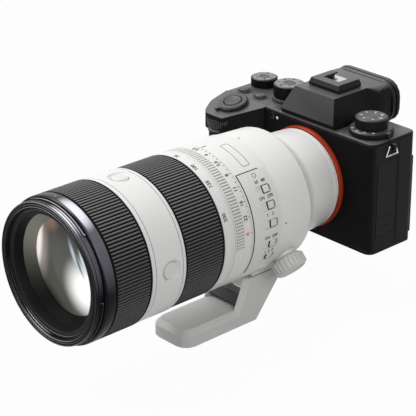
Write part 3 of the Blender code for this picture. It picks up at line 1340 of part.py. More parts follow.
def make_looks():
    return {
        "white": finish("lens_white", (0.83, 0.82, 0.80), 0.45),
        "white_trim": finish("lens_white_trim", (0.78, 0.77, 0.75), 0.4),
        "rubber": finish("black_rubber", (0.018, 0.018, 0.019), 0.75),
        "rubber_grip": finish("grip_leatherette", (0.02, 0.02, 0.021), 0.7),
        "black_metal": finish("black_metal", (0.02, 0.02, 0.022), 0.25, 0.6),
        "body": finish("body_black", (0.022, 0.022, 0.024), 0.5),
        "dark_plastic": finish("dark_plastic", (0.03, 0.03, 0.032), 0.5),
        "knurled": finish("dial_black", (0.02, 0.02, 0.022), 0.35, 0.4),
        "gloss": finish("gloss_black", (0.012, 0.012, 0.014), 0.15),
        "orange": finish("mount_orange", (0.75, 0.11, 0.02), 0.3, 0.6),
        "steel": finish("bright_steel", (0.62, 0.62, 0.63), 0.25, 1.0),
        "glass": finish("coated_glass", (0.35, 0.40, 0.38), 0.05),
        "sensor": finish("sensor_unit", (0.10, 0.12, 0.11), 0.3),
        "board": finish("board_green", (0.02, 0.10, 0.05), 0.5),
    }


def carry_to_place():
    """Hangs every piece on one empty at the mount's centre, above the middle of the foot."""
    pieces = list(bpy.data.objects)
    carrier = bpy.data.objects.new("mount_centre", None)
    carrier.location = (0, (FOOT_TOE + FOOT_HEEL) / 2, -FOOT_BASE)
    bpy.context.scene.collection.objects.link(carrier)
    for made in pieces:
        made.parent = carrier


def main():
    clear_scene()
    looks = make_looks()
    make_rear_barrel(looks)
    make_main_barrel(looks)
    make_switches(looks)
    make_lens_rings(looks)
    make_hold_band(looks)
    make_front_ring(looks)
    make_glass(looks)
    make_collar(looks)
    make_foot(looks)
    make_front_shell(looks)
    make_mount(looks)
    make_doors(looks)
    make_grip(looks)
    make_grip_controls(looks)
    make_rear_cover(looks)
    make_rear_controls(looks)
    make_monitor(looks)
    make_base_plate(looks)
    make_inside(looks)
    make_top_cover(looks)
    make_hot_shoe(looks)
    make_eyecup(looks)
    make_top_controls(looks)
    make_strap_ring("strap_ring_left", 1, BODY_LEFT, LUG_LEFT_BEHIND, looks)
    make_strap_ring("strap_ring_right", -1, BODY_RIGHT, LUG_RIGHT_BEHIND, looks)
    carry_to_place()


main()
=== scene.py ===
import json
import math

import bmesh
import bpy
from mathutils import Matrix, Vector

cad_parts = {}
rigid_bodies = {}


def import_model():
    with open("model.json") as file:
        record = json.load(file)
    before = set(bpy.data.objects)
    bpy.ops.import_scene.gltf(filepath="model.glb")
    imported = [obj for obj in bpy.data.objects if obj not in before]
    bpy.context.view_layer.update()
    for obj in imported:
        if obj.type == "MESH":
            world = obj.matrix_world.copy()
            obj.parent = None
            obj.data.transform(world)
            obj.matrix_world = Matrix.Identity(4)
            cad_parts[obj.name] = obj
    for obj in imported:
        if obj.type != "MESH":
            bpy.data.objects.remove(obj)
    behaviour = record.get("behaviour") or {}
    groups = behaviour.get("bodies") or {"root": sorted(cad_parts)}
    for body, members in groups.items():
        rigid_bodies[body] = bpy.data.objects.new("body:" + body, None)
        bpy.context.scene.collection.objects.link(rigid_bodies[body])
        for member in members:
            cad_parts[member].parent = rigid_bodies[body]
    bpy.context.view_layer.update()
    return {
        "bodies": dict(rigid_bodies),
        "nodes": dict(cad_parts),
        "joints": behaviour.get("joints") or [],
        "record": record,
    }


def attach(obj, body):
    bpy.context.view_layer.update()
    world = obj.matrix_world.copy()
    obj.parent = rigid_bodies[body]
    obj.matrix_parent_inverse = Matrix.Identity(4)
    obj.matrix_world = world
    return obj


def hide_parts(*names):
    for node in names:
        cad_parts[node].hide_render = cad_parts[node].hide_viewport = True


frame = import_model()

mm = 0.001
nodes = frame["nodes"]
scene = bpy.context.scene
mountAt = 83.75 * mm  # mount face along Y
axisHeight = 74 * mm  # lens axis above the floor
bodyFrame = Matrix.Translation((0, mountAt, axisHeight))
lensFrame = bodyFrame @ Matrix.Rotation(math.radians(90), 4, "X")  # local Z runs forward along the lens


class Wire:  # one shader socket that takes part in sums
    def __init__(self, look, socket):
        self.look = look
        self.socket = socket

    def calc(self, kind, first, second):
        return self.look.node("ShaderNodeMath", {"operation": kind}, {0: first, 1: second})

    def __add__(self, other):
        return self.calc("ADD", self, other)

    def __radd__(self, other):
        return self.calc("ADD", other, self)

    def __sub__(self, other):
        return self.calc("SUBTRACT", self, other)

    def __rsub__(self, other):
        return self.calc("SUBTRACT", other, self)

    def __mul__(self, other):
        return self.calc("MULTIPLY", self, other)

    def __rmul__(self, other):
        return self.calc("MULTIPLY", other, self)

    def __pow__(self, other):
        return self.calc("POWER", self, other)


class Look:  # one material and the nodes in it
    def __init__(self, name, **fixed):
        self.material = bpy.data.materials.new(name)
        self.material.use_nodes = True
        self.tree = self.material.node_tree
        self.shader = self.tree.nodes["Principled BSDF"]
        self.set(**fixed)

    def set(self, **values):  # sockets of the main shader, spaces written as underscores
        for key, value in values.items():
            self.join(self.shader.inputs[key.replace("_", " ")], value)
        return self

    def join(self, socket, value):
        if isinstance(value, Wire):
            self.tree.links.new(value.socket, socket)
        else:
            socket.default_value = value

    def node(self, kind, settings=None, sockets=None, out=0):
        made = self.tree.nodes.new(kind)
        for key, value in (settings or {}).items():
            setattr(made, key, value)
        for key, value in (sockets or {}).items():
            self.join(made.inputs[key], value)
        return Wire(self, made.outputs[out])

    def place(self):
        return self.node("ShaderNodeTexCoord", out="Object")

    def noise(self, scale, detail=2.0, rough=0.5):
        sockets = {"Vector": self.place(), "Scale": scale, "Detail": detail, "Roughness": rough}
        return self.node("ShaderNodeTexNoise", None, sockets, "Fac")

    def blend(self, share, first, second):
        return self.node("ShaderNodeMix", {"data_type": "RGBA"}, {0: share, 6: first, 7: second}, 2)

    def axis(self, index):
        return self.node("ShaderNodeSeparateXYZ", None, {0: self.place()}, index)

    # used to lay painted light and shade into the base colour
    def lift(self, share, colour):  # lays a colour over the base colour
        under = Wire(self, self.shader.inputs["Base Color"].links[0].from_socket)
        return self.set(Base_Color=self.blend(share, under, colour))

    def facing(self, aim, low, high):  # 1 where the surface looks along the aim, 0 where it looks away
        normal = self.node("ShaderNodeTexCoord", out="Normal")
        lit = self.node("ShaderNodeVectorMath", {"operation": "DOT_PRODUCT"}, {0: normal, 1: aim}, "Value")
        return self.node("ShaderNodeMapRange", {"interpolation_type": "SMOOTHSTEP"}, {
            "Value": lit, "From Min": low, "From Max": high})

    def relief(self, height, strength, distance=0.0002):
        sockets = {"Strength": strength, "Distance": distance, "Height": height}
        return self.node("ShaderNodeBump", None, sockets, "Normal")


def tint(red, green, blue):
    return (red, green, blue, 1.0)


def paintLook(name, dark, pale, cloud, grain, rough, spread, bump, depth=0.00008, **fixed):
    look = Look(name, **fixed)
    broad = look.noise(cloud, 3, 0.55)
    fine = look.noise(grain, 2, 0.6)
    look.set(Base_Color=look.blend(broad, dark, pale))
    look.set(Roughness=rough + spread * (fine - 0.5) + 0.5 * spread * (broad - 0.5))
    look.set(Normal=look.relief(fine, bump, depth))
    return look


def greyLook(name, dark, pale, rough, gleam=0.5, bump=0.1, cloud=90, grain=3000, sheen=0.0, lift=0.0,
             **fixed):
    look = paintLook(name, tint(dark, dark, dark), tint(pale, pale, pale), cloud, grain, rough, 0.1, bump,
                     Specular_IOR_Level=gleam, Coat_Roughness=0.4, **fixed)
    if sheen:  # coat gleam where the surface looks up, and a painted top light laid into the colour there
        upward = look.facing((-0.2, -0.35, 0.92), 0.4, 0.92)
        look.set(Coat_Weight=sheen * upward)
        look.lift(upward, tint(lift, lift, lift))
    return look


# finishes of this camera and lens, several with painted light and shade in their colour
whiteLacquer = paintLook("whiteLacquer", tint(0.715, 0.71, 0.695), tint(0.745, 0.74, 0.725), 45, 2600, 0.36,
                         0.06, 0.05, Specular_IOR_Level=0.4)
whiteTrim = paintLook("whiteTrim", tint(0.66, 0.655, 0.64), tint(0.69, 0.685, 0.67), 70, 3000, 0.42, 0.06,
                      0.04)
greyFoot = paintLook("greyFoot", tint(0.60, 0.595, 0.58), tint(0.635, 0.63, 0.615), 40, 2200, 0.40, 0.06,
                     0.06)
ribRubber = greyLook("ribRubber", 0.022, 0.030, 0.66, 0.10, 0.12, 160)
# painted top light: rib faces that look up are paler
ribRubber.lift(ribRubber.facing((0.1, 0, 0.99), 0.0, 1.0), tint(0.15, 0.15, 0.155))
# painted shade: the rubber between the ribs is a darker copy of the rib rubber
gapRubberPaintedShade = greyLook("gapRubberPaintedShade", 0.004, 0.006, 0.75, 0.05, 0.1, 160)
frontSatin = paintLook("frontSatin", tint(0.004, 0.004, 0.005), tint(0.006, 0.006, 0.007), 60, 1800, 0.34,
                       0.06, 0.03, Specular_IOR_Level=0.06, Coat_Roughness=0.2)
# painted highlight: a broad faint band and a narrow bright band laid into the colour where the ring faces
# up and to the right
frontSatin.lift(frontSatin.facing((0.82, 0, 0.57), 0.80, 1.0), tint(0.105, 0.10, 0.125))
frontSatin.lift(frontSatin.facing((0.36, 0, 0.93), 0.93, 1.0), tint(0.85, 0.83, 0.92))
frontSatin.set(Coat_Weight=0.6 * frontSatin.facing((0.42, 0, 0.91), 0.6, 1.0))
innerBlack = greyLook("innerBlack", 0.004, 0.007, 0.5, 0.15, 0.05)
# these blacks get a painted top light: a paler colour where they look up
bodyPaint = greyLook("bodyPaint", 0.004, 0.007, 0.50, 0.05, 0.35, 70, 3800, sheen=0.8, lift=0.04)
# painted side light: faces looking along +X are paler
bodyPaint.lift(bodyPaint.facing((1, 0, 0), 0.6, 1.0), tint(0.018, 0.018, 0.019))
deckPaint = greyLook("deckPaint", 0.005, 0.008, 0.48, 0.08, 0.35, 70, 3800, sheen=0.9, lift=0.055)
gripSkin = greyLook("gripSkin", 0.006, 0.009, 0.62, 0.08, 0.6, 70, 1500, sheen=1.0, lift=0.065)
controlBlack = greyLook("controlBlack", 0.006, 0.010, 0.42, 0.12, 0.12, sheen=0.8, lift=0.03)
controlGrey = greyLook("controlGrey", 0.050, 0.065, 0.40, 0.4, 0.08)
lugGrey = greyLook("lugGrey", 0.010, 0.014, 0.36, 0.1, 0.04)
# painted highlight: the lugs are pale where they face up
lugGrey.lift(lugGrey.facing((0.3, 0, 0.95), 0.3, 0.9), tint(0.34, 0.34, 0.35))
dialSilver = greyLook("dialSilver", 0.20, 0.26, 0.36, 0.5, 0.04, Metallic=0.35)
screenGloss = greyLook("screenGloss", 0.004, 0.006, 0.10, 0.5, 0.01)
# painted shade: a mid grey for the floor between the aperture ring's ribs, darker than the ring's white
ribShade = greyLook("ribShade", 0.30, 0.34, 0.5, 0.3)
markGrey = greyLook("markGrey", 0.050, 0.068, 0.6, 0.2, 0.02, 300)
markBlack = greyLook("markBlack", 0.006, 0.010, 0.6, 0.1, 0.02, 300)
markWhite = greyLook("markWhite", 0.66, 0.72, 0.5, 0.3, 0.02, 300)
markRed = paintLook("markRed", tint(0.60, 0.06, 0.02), tint(0.68, 0.08, 0.03), 300, 3000, 0.45, 0.1, 0.02)
orangeRing = paintLook("orangeRing", tint(0.36, 0.030, 0.006), tint(0.44, 0.042, 0.008), 60, 2500, 0.34,
                       0.08, 0.03, Metallic=0.5)
steel = greyLook("steel", 0.62, 0.72, 0.22, 0.5, 0.03, 180, 4000, Metallic=1.0)
print("finishes made")


# mesh helpers

def eased(points, steps=3):  # (radius, height, fillet) corners turned into short curves
    out = []
    for index, (r, h, f) in enumerate(points):
        here = Vector((r, h))
        if not f:
            out.append((r, h))
            continue
        before = Vector(points[index - 1][:2]) - here
        after = Vector(points[(index + 1) % len(points)][:2]) - here
        first = here + before.normalized() * min(f, before.length * 0.45)
        last = here + after.normalized() * min(f, after.length * 0.45)
        for step in range(steps + 1):
            share = step / steps
            spot = first.lerp(here, share).lerp(here.lerp(last, share), share)
            out.append((spot.x, spot.y))
    return out


def lathe(points, steps=144, closed=True, sweep=360.0, start=0.0):
    bm = bmesh.new()
    ring = [bm.verts.new((r * mm, 0, h * mm)) for r, h in points]
    pairs = list(zip(ring, ring[1:]))
    if closed:
        pairs.append((ring[-1], ring[0]))
    edges = [bm.edges.new(pair) for pair in pairs]
    whole = sweep >= 360
    if start:
        turn = Matrix.Rotation(math.radians(start), 3, "Z")
        bmesh.ops.rotate(bm, verts=bm.verts, cent=(0, 0, 0), matrix=turn)
    bmesh.ops.spin(bm, geom=ring + edges, cent=(0, 0, 0), axis=(0, 0, 1), angle=math.radians(sweep),
                   steps=steps, use_merge=whole)
    if not whole:
        bmesh.ops.holes_fill(bm, edges=[e for e in bm.edges if e.is_boundary], sides=0)
    bmesh.ops.remove_doubles(bm, verts=bm.verts, dist=1e-7)
    bmesh.ops.recalc_face_normals(bm, faces=bm.faces)
    return bm


def softBox(low, high, radius, segments=2, only=None):
    bm = bmesh.new()
    bmesh.ops.create_cube(bm, size=1.0)
    low, high = Vector(low) * mm, Vector(high) * mm
    bmesh.ops.scale(bm, verts=bm.verts, vec=high - low)
    bmesh.ops.translate(bm, verts=bm.verts, vec=(low + high) / 2)
    edges = [e for e in bm.edges if only is None or only(e)]
    if radius:
        bmesh.ops.bevel(bm, geom=edges, offset=radius * mm, segments=segments, profile=0.5, affect="EDGES",
                        clamp_overlap=True, material=-1)
    return bm


def around(bm, count, sweep=360.0):  # copies of the shape round the local Z axis
    geom = bm.verts[:] + bm.edges[:] + bm.faces[:]
    angle = math.radians(sweep) * ((count - 1) / count if sweep >= 360 else 1)
    bmesh.ops.spin(bm, geom=geom, cent=(0, 0, 0), axis=(0, 0, 1), angle=angle, steps=count - 1,
                   use_duplicate=True)
    return bm


def absorb(target, *others):
    for other in others:
        mesh = bpy.data.meshes.new("spare")
        other.to_mesh(mesh)
        other.free()
        target.from_mesh(mesh)
        bpy.data.meshes.remove(mesh)
    return target


def moved(bm, matrix):
    bmesh.ops.transform(bm, matrix=matrix, verts=bm.verts)
    return bm


def looseObject(bm, name):
    mesh = bpy.data.meshes.new(name)
    bm.to_mesh(mesh)
    bm.free()
    thing = bpy.data.objects.new(name, mesh)
    scene.collection.objects.link(thing)
    return thing


def carved(bm, *cutters, kind="DIFFERENCE"):
    base = looseObject(bm, "base")
    tools = [looseObject(cutter, "cutter") for cutter in cutters]
    for tool in tools:
        step = base.modifiers.new("step", "BOOLEAN")
        step.operation = kind
        step.solver = "EXACT"
        step.object = tool
    graph = bpy.context.evaluated_depsgraph_get()
    mesh = bpy.data.meshes.new_from_object(base.evaluated_get(graph))
    out = bmesh.new()
    out.from_mesh(mesh)
    bpy.data.meshes.remove(mesh)
    for thing in [base, *tools]:
        old = thing.data
        bpy.data.objects.remove(thing)
        bpy.data.meshes.remove(old)
    bmesh.ops.remove_doubles(out, verts=out.verts, dist=2e-6)
    return out


def lettering(words, height, thick=0.06, bold=0.05):
    curve = bpy.data.curves.new("letters", "FONT")
    curve.body = words
    curve.size = height * mm * 1.4
    curve.align_x = "CENTER"
    curve.align_y = "CENTER"
    curve.resolution_u = 3
    curve.extrude = thick * mm
    curve.offset = bold * mm  # wider strokes
    thing = bpy.data.objects.new("letters", curve)
    scene.collection.objects.link(thing)
    graph = bpy.context.evaluated_depsgraph_get()
    mesh = bpy.data.meshes.new_from_object(thing.evaluated_get(graph))
    bm = bmesh.new()
    bm.from_mesh(mesh)
    bpy.data.objects.remove(thing)
    bpy.data.curves.remove(curve)
    bpy.data.meshes.remove(mesh)
    bmesh.ops.remove_doubles(bm, verts=bm.verts, dist=1e-7)
    return bm


def onBarrel(bm, angle, station, radius, axial=False):
    # bends a flat shape onto the lens: its width follows the barrel, or its height when axial
    for v in bm.verts:
        across, along = (v.co.y, -v.co.x) if axial else (v.co.x, v.co.y)
        turn = math.radians(angle) + across / (radius * mm)
        reach = radius * mm + v.co.z
        v.co = (reach * math.cos(turn), reach * math.sin(turn), station * mm + along)
    return bm


def addPiece(name, bm, look, body, stands=(), frame=None):
    if frame is not None:
        bm.transform(frame)
    mesh = bpy.data.meshes.new(name)
    bm.to_mesh(mesh)
    bm.free()
    mesh.materials.append(look.material)
    mesh.shade_smooth()
    mesh.set_sharp_from_angle(angle=math.radians(32))
    piece = bpy.data.objects.new(name, mesh)
    scene.collection.objects.link(piece)
    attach(piece, body)
    if stands:
        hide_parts(*stands)
    return piece


def cadCopy(node):  # a node's triangles joined into one skin with flat faces
    bm = bmesh.new()
    bm.from_mesh(nodes[node].data)
    bmesh.ops.remove_doubles(bm, verts=bm.verts, dist=3e-6)
    bmesh.ops.dissolve_limit(bm, angle_limit=math.radians(1.0), verts=bm.verts, edges=bm.edges)
    return bm


def softNode(node, look, body, width, segments=2, angle=35):
    piece = addPiece(node + "_skin", cadCopy(node), look, body, (node,))
    step = piece.modifiers.new("softEdges", "BEVEL")
    step.width = width * mm
    step.segments = segments
    step.limit_method = "ANGLE"
    step.angle_limit = math.radians(angle)
    step.use_clamp_overlap = True
    step.harden_normals = False
    step.miter_outer = "MITER_ARC"
    return piece


# rear barrel and collar
rearBarrel = {"neck": 33.0, "flareStart": 22.0, "flareEnd": 33.9, "flare": 40.8}
swell = rearBarrel["flare"] - rearBarrel["neck"]
reach = rearBarrel["flareEnd"] - rearBarrel["flareStart"]
curveSide = []
for step in range(17):
    share = step / 16
    curveSide.append((rearBarrel["neck"] + swell * share**2, rearBarrel["flareStart"] + reach * share, 0))
curveSide[-1] = (rearBarrel["flare"], rearBarrel["flareEnd"], 0.3)
outline = [(20.4, -5, 0.2), (22.6, -5, 0.3), (22.6, 0.9, 0), (31.6, 0.9, 0.4), (31.85, 3.6, 0.1),
           (31.6, 3.75, 0), (31.6, 4.0, 0), (31.9, 4.15, 0.1), *curveSide,
           (36.6, rearBarrel["flareEnd"], 0), (29.6, rearBarrel["flareStart"], 0), (28.4, 7.7, 0),
           (20.4, 4.3, 0)]
addPiece("rear_barrel_skin", lathe(eased(outline)), whiteLacquer, "lens", ("rear_barrel",),
         lensFrame)
index = onBarrel(softBox((-0.5, -1.2, -0.05), (0.5, 1.2, 0.22), 0.1, 1), 1, 5.9, 31.95)
addPiece("rear_index", index, markWhite, "lens", (), lensFrame)

collar = {"bore": 38.95, "back": 34.55, "front": 59.15, "backRadius": 41.2, "radius": 42.4, "boss": 43.0}
knob = {"radius": 10.8, "thick": 8.8, "start": 43.3, "ribs": 24, "angle": -43, "station": 46}
knobTurn = Matrix.Rotation(math.radians(knob["angle"]), 4, "Z")
toKnob = Matrix.Translation((0, 0, knob["station"] * mm)) @ knobTurn
sideways = toKnob @ Matrix.Rotation(math.radians(90), 4, "Y")  # along the knob's own axis
ring = lathe(eased([(30, collar["back"], 0), (collar["backRadius"], collar["back"], 0.5),
                    (collar["radius"], collar["front"], 0.45), (30, collar["front"], 0)]))
block = softBox((-16, -44, 35.55), (16, -20, 58.15), 1.2, 3)
bossSide = eased([(0, 30, 0), (7.5, 30, 0), (7.5, collar["boss"], 0.4), (0, collar["boss"], 0)])
boss = moved(lathe(bossSide, 48, closed=False), sideways)
hole = lathe([(0, 20), (collar["bore"], 20), (collar["bore"], 80), (0, 80)], 144, closed=False)
collarSkin = carved(carved(ring, block, boss, kind="UNION"), hole)
addPiece("collar_skin", collarSkin, whiteLacquer, "collar", ("collar_ring",), lensFrame)

# collar knob: a drum with a scalloped rim
rim, top = knob["radius"], knob["thick"]
core = lathe(eased([(0, 0, 0), (rim - 1.8, 0, 0.4), (rim - 0.75, 1.1, 0.4), (rim - 0.75, top - 1.6, 0.5),
                    (rim - 1.9, top, 0.8), (rim - 3.4, top, 0.3), (rim - 3.8, top - 0.4, 0.3),
                    (0, top - 0.6, 0)]),
             96, closed=False)
rib = softBox((rim - 1.5, -0.82, 1.1), (rim, 0.82, top - 1.3), 0.5, 2)
addPiece("collar_knob_skin", absorb(core, around(rib, knob["ribs"])), greyFoot, "collar_knob",
         ("collar_knob",), lensFrame @ sideways @ Matrix.Translation((0, 0, knob["start"] * mm)))

# foot and its brace
softNode("foot", greyFoot, "collar", 0.7, 3, 25)
softNode("foot_brace", controlBlack, "collar", 0.4, 2)
print("rear barrel, collar, knob and foot made")


# switch panel
panel = {"radius": 43.0, "back": 59.5, "front": 84.5, "plateLow": -37, "plateHigh": 50.4, "plate": 43.3}
switches = {"focus_switch": 33.5, "override_switch": 20.4, "limit_switch": 5.9, "stabiliser_switch": -12.0,
            "stabiliser_mode_switch": -24.8}
slot = {"back": 64.15, "front": 75.25, "half": 2.65, "deep": 1.7, "corner": 1.5}


def spun(bm, angle):
    return moved(bm, Matrix.Rotation(math.radians(angle), 4, "Z"))


def outwardEdge(edge):  # runs out from the lens axis
    first, last = (v.co for v in edge.verts)
    return abs(first.x - last.x) > 0.0005


def pocket(angle):
    low = (panel["radius"] - slot["deep"], -slot["half"], slot["back"])
    return spun(softBox(low, (46, slot["half"], slot["front"]), slot["corner"], 4, outwardEdge), angle)


barrel = lathe(eased([(36.6, 34.2, 0), (38.6, 34.2, 0), (38.6, panel["back"], 0),
                      (panel["radius"], panel["back"], 0.45), (panel["radius"], panel["front"], 0.45),
                      (39.4, panel["front"], 0), (39.4, 192.1, 0), (36.6, 192.1, 0)]), 144)
barrelSkin = carved(barrel, *(pocket(angle) for angle in switches.values()))
addPiece("main_barrel_skin", barrelSkin, whiteLacquer, "lens", ("main_barrel",), lensFrame)
plateSweep = panel["plateHigh"] - panel["plateLow"]
plate = lathe(eased([(42.8, 61.0, 0), (panel["plate"], 61.0, 0.2), (panel["plate"], 82.9, 0.2),
                     (42.8, 82.9, 0)]), 60, True, plateSweep,
              panel["plateLow"])
plateSkin = carved(plate, *(pocket(angle) for angle in switches.values()))
addPiece("switch_plate", plateSkin, whiteTrim, "lens", (), lensFrame)
# painted shadow: a black strip along the plate's front and top edges, where the gap to the rings falls into
# shadow
lineFront = lathe([(42.9, 82.95), (43.12, 82.95), (43.12, 83.6), (42.9, 83.6)], 60, True, plateSweep + 0.8,
                  panel["plateLow"])
lineTop = spun(softBox((42.9, -0.26, 66), (43.14, 0.26, 83.3), 0), panel["plateHigh"] + 0.5)
addPiece("plate_shadow_line", absorb(lineFront, lineTop), markBlack, "lens", (), lensFrame)

for node, angle in switches.items():
    cap = softBox((41.65, -2.1, 65.2), (43.3, 2.1, 69.6), 0.4, 3)
    for place in (66.3, 67.4, 68.5):
        absorb(cap, softBox((43.1, -1.6, place - 0.28), (43.55, 1.6, place + 0.28), 0.12, 1))
    addPiece(node + "_cap", spun(cap, angle), whiteTrim, node, (node,), lensFrame)
    bed = softBox((41.32, -2.6, 69.9), (42.35, 2.6, 75.2), 0)
    addPiece(node + "_bed", spun(bed, angle), whiteTrim, "lens", (), lensFrame)
    # painted shade: black strips along the slot floor under the cap and across the cap's front end, where
    # the gaps fall into shadow
    shade = absorb(softBox((41.32, -2.6, 64.2), (41.5, 2.6, 69.9), 0),
                   softBox((41.4, -2.1, 69.7), (42.9, 2.1, 70.15), 0))
    addPiece(node + "_shade", spun(shade, angle), markBlack, "lens", (), lensFrame)

labels = {"AF   MF": 40.4, "ON   OFF": 27.2, "1    2": 13.4, "ON  OFF": -5.0, "1  2  3": -18.4}
words = bmesh.new()
for text, angle in labels.items():
    absorb(words, onBarrel(lettering(text, 1.9), angle, 69.6, 43.34, True))
absorb(words, onBarrel(lathe([(1.2, -0.05), (1.5, -0.05), (1.5, 0.05), (1.2, 0.05)], 20), 46.2, 71.5,
                       43.34))
addPiece("panel_words", words, markGrey, "lens", (), lensFrame)


def shortEdge(edge):
    return edge.calc_length() < 0.0002


def uprightEdge(edge):
    return abs(edge.verts[0].co.z - edge.verts[1].co.z) > 0.001


frameLine = carved(softBox((-10.6, -2.9, -0.05), (10.6, 2.9, 0.06), 1.2, 4, shortEdge),
                   softBox((-10.35, -2.65, -1), (10.35, 2.65, 1), 1.0, 4, uprightEdge))
bmesh.ops.subdivide_edges(frameLine, edges=[e for e in frameLine.edges if e.calc_length() > 0.008], cuts=11)
addPiece("panel_frame", onBarrel(frameLine, 70, 71.8, 43.02), markGrey, "lens", (),
         lensFrame)
index = onBarrel(softBox((-0.3, -1.9, -0.05), (0.3, 1.9, 0.08), 0), 91, 82.4, 43.0)
for angle, station, radius in ((87.0, 57.0, 42.3), (0.5, 56.7, 42.3)):
    dot = lathe([(0, -0.1), (0.55, -0.1), (0.55, 0.07), (0, 0.07)], 16, False)
    absorb(index, onBarrel(dot, angle, station, radius))
addPiece("barrel_index", index, markBlack, "lens", (), lensFrame)
print("switch panel made")


# aperture ring
aperture = {"radius": 43.0, "back": 84.85, "front": 97.95, "ribs": 80, "firstRib": -6, "lastRib": 196}
rim, back, front = aperture["radius"], aperture["back"], aperture["front"]
ringShape = lathe(eased([(39.75, back, 0), (rim, back, 0.35), (rim, 90.6, 0), (42.7, 90.8, 0),
                         (42.7, 97.0, 0), (rim, 97.2, 0), (rim, front, 0.35), (39.75, front, 0)]))
addPiece("aperture_ring_skin", ringShape, whiteLacquer, "aperture_ring", ("aperture_ring",),
         lensFrame)
rib = spun(softBox((42.5, -0.62, 91.0), (43.1, 0.62, 96.8), 0.2, 2), aperture["firstRib"])
span = aperture["lastRib"] - aperture["firstRib"]
addPiece("aperture_ribs", around(rib, aperture["ribs"], span), whiteTrim, "aperture_ring", (),
         lensFrame)
# painted shade in the grooves between the ribs
floorShade = lathe([(42.6, 90.9), (42.76, 90.9), (42.76, 96.9), (42.6, 96.9)], 80, True, span,
                   aperture["firstRib"])
addPiece("aperture_rib_floor", floorShade, ribShade, "aperture_ring", (), lensFrame)
stops = {"2.8": 91.5, "4": 79.0, "5.6": 66.6, "8": 54.1, "11": 41.3, "16": 29.2, "22": 17.6}
marks = bmesh.new()
for text, angle in stops.items():
    absorb(marks, onBarrel(lettering(text, 2.5, 0.06, 0.07), angle, 88.4, 43.02))
for step in range(19):
    angle = stops["22"] + step * 12.32 / 3
    length = 0.75 if step % 3 == 0 else 0.45
    absorb(marks, onBarrel(softBox((-0.16, -length, -0.04), (0.16, length, 0.06), 0), angle, 85.9, 43.02))
addPiece("aperture_numbers", marks, markGrey, "aperture_ring", (), lensFrame)
dot = onBarrel(softBox((-0.16, -0.75, -0.04), (0.16, 0.75, 0.06), 0), 4.9, 85.9, 43.02)
absorb(dot, onBarrel(lettering("A", 2.5, 0.06, 0.07), 4.9, 88.4, 43.02))
addPiece("aperture_auto_mark", dot, markRed, "aperture_ring", (), lensFrame)

# zoom ring with its scale
grooves = []
for place, deep in ((99.55, 0.3), (101.0, 0.2), (105.0, 0.2)):
    grooves += [(43.0, place, 0), (43.0 - deep, place + 0.1, 0), (43.0 - deep, place + 0.3, 0),
                (43.0, place + 0.4, 0)]
zoomShape = lathe(eased([(39.75, 98.3, 0), (43.0, 98.3, 0.3), *grooves, (43.0, 106.1, 0.3),
                         (41.5, 106.1, 0), (41.5, 135.85, 0), (39.75, 135.85, 0)]))
addPiece("zoom_ring_skin", zoomShape, whiteLacquer, "zoom_sleeve", ("zoom_ring",), lensFrame)
marks = bmesh.new()
for text, angle in {"70": 91.0, "100": 70.7, "135": 52.2, "200": 23.9}.items():
    absorb(marks, onBarrel(lettering(text, 2.5, 0.06, 0.07), angle, 103.2, 43.02))
addPiece("zoom_numbers", marks, markGrey, "zoom_sleeve", (), lensFrame)

# rubber grips, with the same ribs as the solids
grip = {"ribs": 132, "border": 1.0, "deep": 0.85, "half": 0.6}


def ribbedRubber(name, node, body, back, front, bore, radius):
    low, edge = radius - grip["deep"], grip["border"]
    base = lathe(eased([(bore, back, 0), (radius, back, 0.35), (radius, back + edge, 0.2),
                        (low, back + edge + 0.35, 0), (low, front - edge - 0.35, 0),
                        (radius, front - edge, 0.2), (radius, front, 0.35), (bore, front, 0)], 2),
                 grip["ribs"])
    addPiece(name + "_base", base, gapRubberPaintedShade, body, (node,), lensFrame)
    bar = softBox((low - 0.25, -grip["half"], back + edge + 0.1),
                  (radius, grip["half"], front - edge - 0.1), 0.3, 2,
                  lambda e: min(v.co.x for v in e.verts) > (radius - 0.5) * mm)
    ribs = around(spun(bar, 180 / grip["ribs"]), grip["ribs"])
    addPiece(name + "_ribs", ribs, ribRubber, body, (), lensFrame)


ribbedRubber("zoom_grip", "zoom_grip", "zoom_sleeve", 106.4, 135.85, 41.8, 43.0)
ribbedRubber("focus_grip", "focus_ring", "focus_ring", 161.25, 186.9, 39.75, 43.7)
print("turning rings made")


# band with the hold buttons
band = {"radius": 43.4, "back": 136.2, "front": 160.9, "station": 147.0, "lines": (138.5, 158.2)}
bandShape = lathe(eased([(39.7, band["back"], 0), (band["radius"], band["back"], 0.35),
                         (band["radius"], band["front"], 0.35), (39.7, band["front"], 0)]), 180)
facing = {"hold_button_top": 90, "hold_button_left": 180, "hold_button_right": 0}


def outward(angle):  # local Z runs out from the band at this angle
    return (Matrix.Translation((0, 0, band["station"] * mm)) @ Matrix.Rotation(math.radians(angle), 4, "Z")
            @ Matrix.Rotation(math.radians(90), 4, "Y"))


wells = []
for angle in facing.values():
    well = lathe([(0, 38), (5.5, 38), (5.5, 42.2), (6.1, 42.3), (7.1, 43.6), (7.1, 46), (0, 46)], 64, False)
    wells.append(moved(well, outward(angle)))
for place in band["lines"]:
    wells.append(lathe([(43.15, place - 0.18), (44, place - 0.18), (44, place + 0.18),
                        (43.15, place + 0.18)], 180))
addPiece("button_band_skin", carved(bandShape, *wells), whiteLacquer, "lens",
         ("button_band",), lensFrame)
lines = bmesh.new()
for place in band["lines"]:
    absorb(lines, lathe([(43.0, place - 0.16), (43.22, place - 0.16), (43.22, place + 0.16),
                         (43.0, place + 0.16)], 180))
addPiece("band_lines", lines, markGrey, "lens", (), lensFrame)
for node, angle in facing.items():
    cap = lathe(eased([(0, 40.2, 0), (5.2, 40.2, 0.2), (5.2, 43.1, 0.4), (4.6, 43.3, 0.15),
                       (4.2, 42.95, 0.1), (3.9, 42.95, 0.1), (3.6, 43.2, 0.15), (2.0, 43.12, 0),
                       (0, 43.1, 0)]), 64, False)
    addPiece(node + "_cap", cap, whiteTrim, node, (node,), lensFrame @ outward(angle))
print("band made")


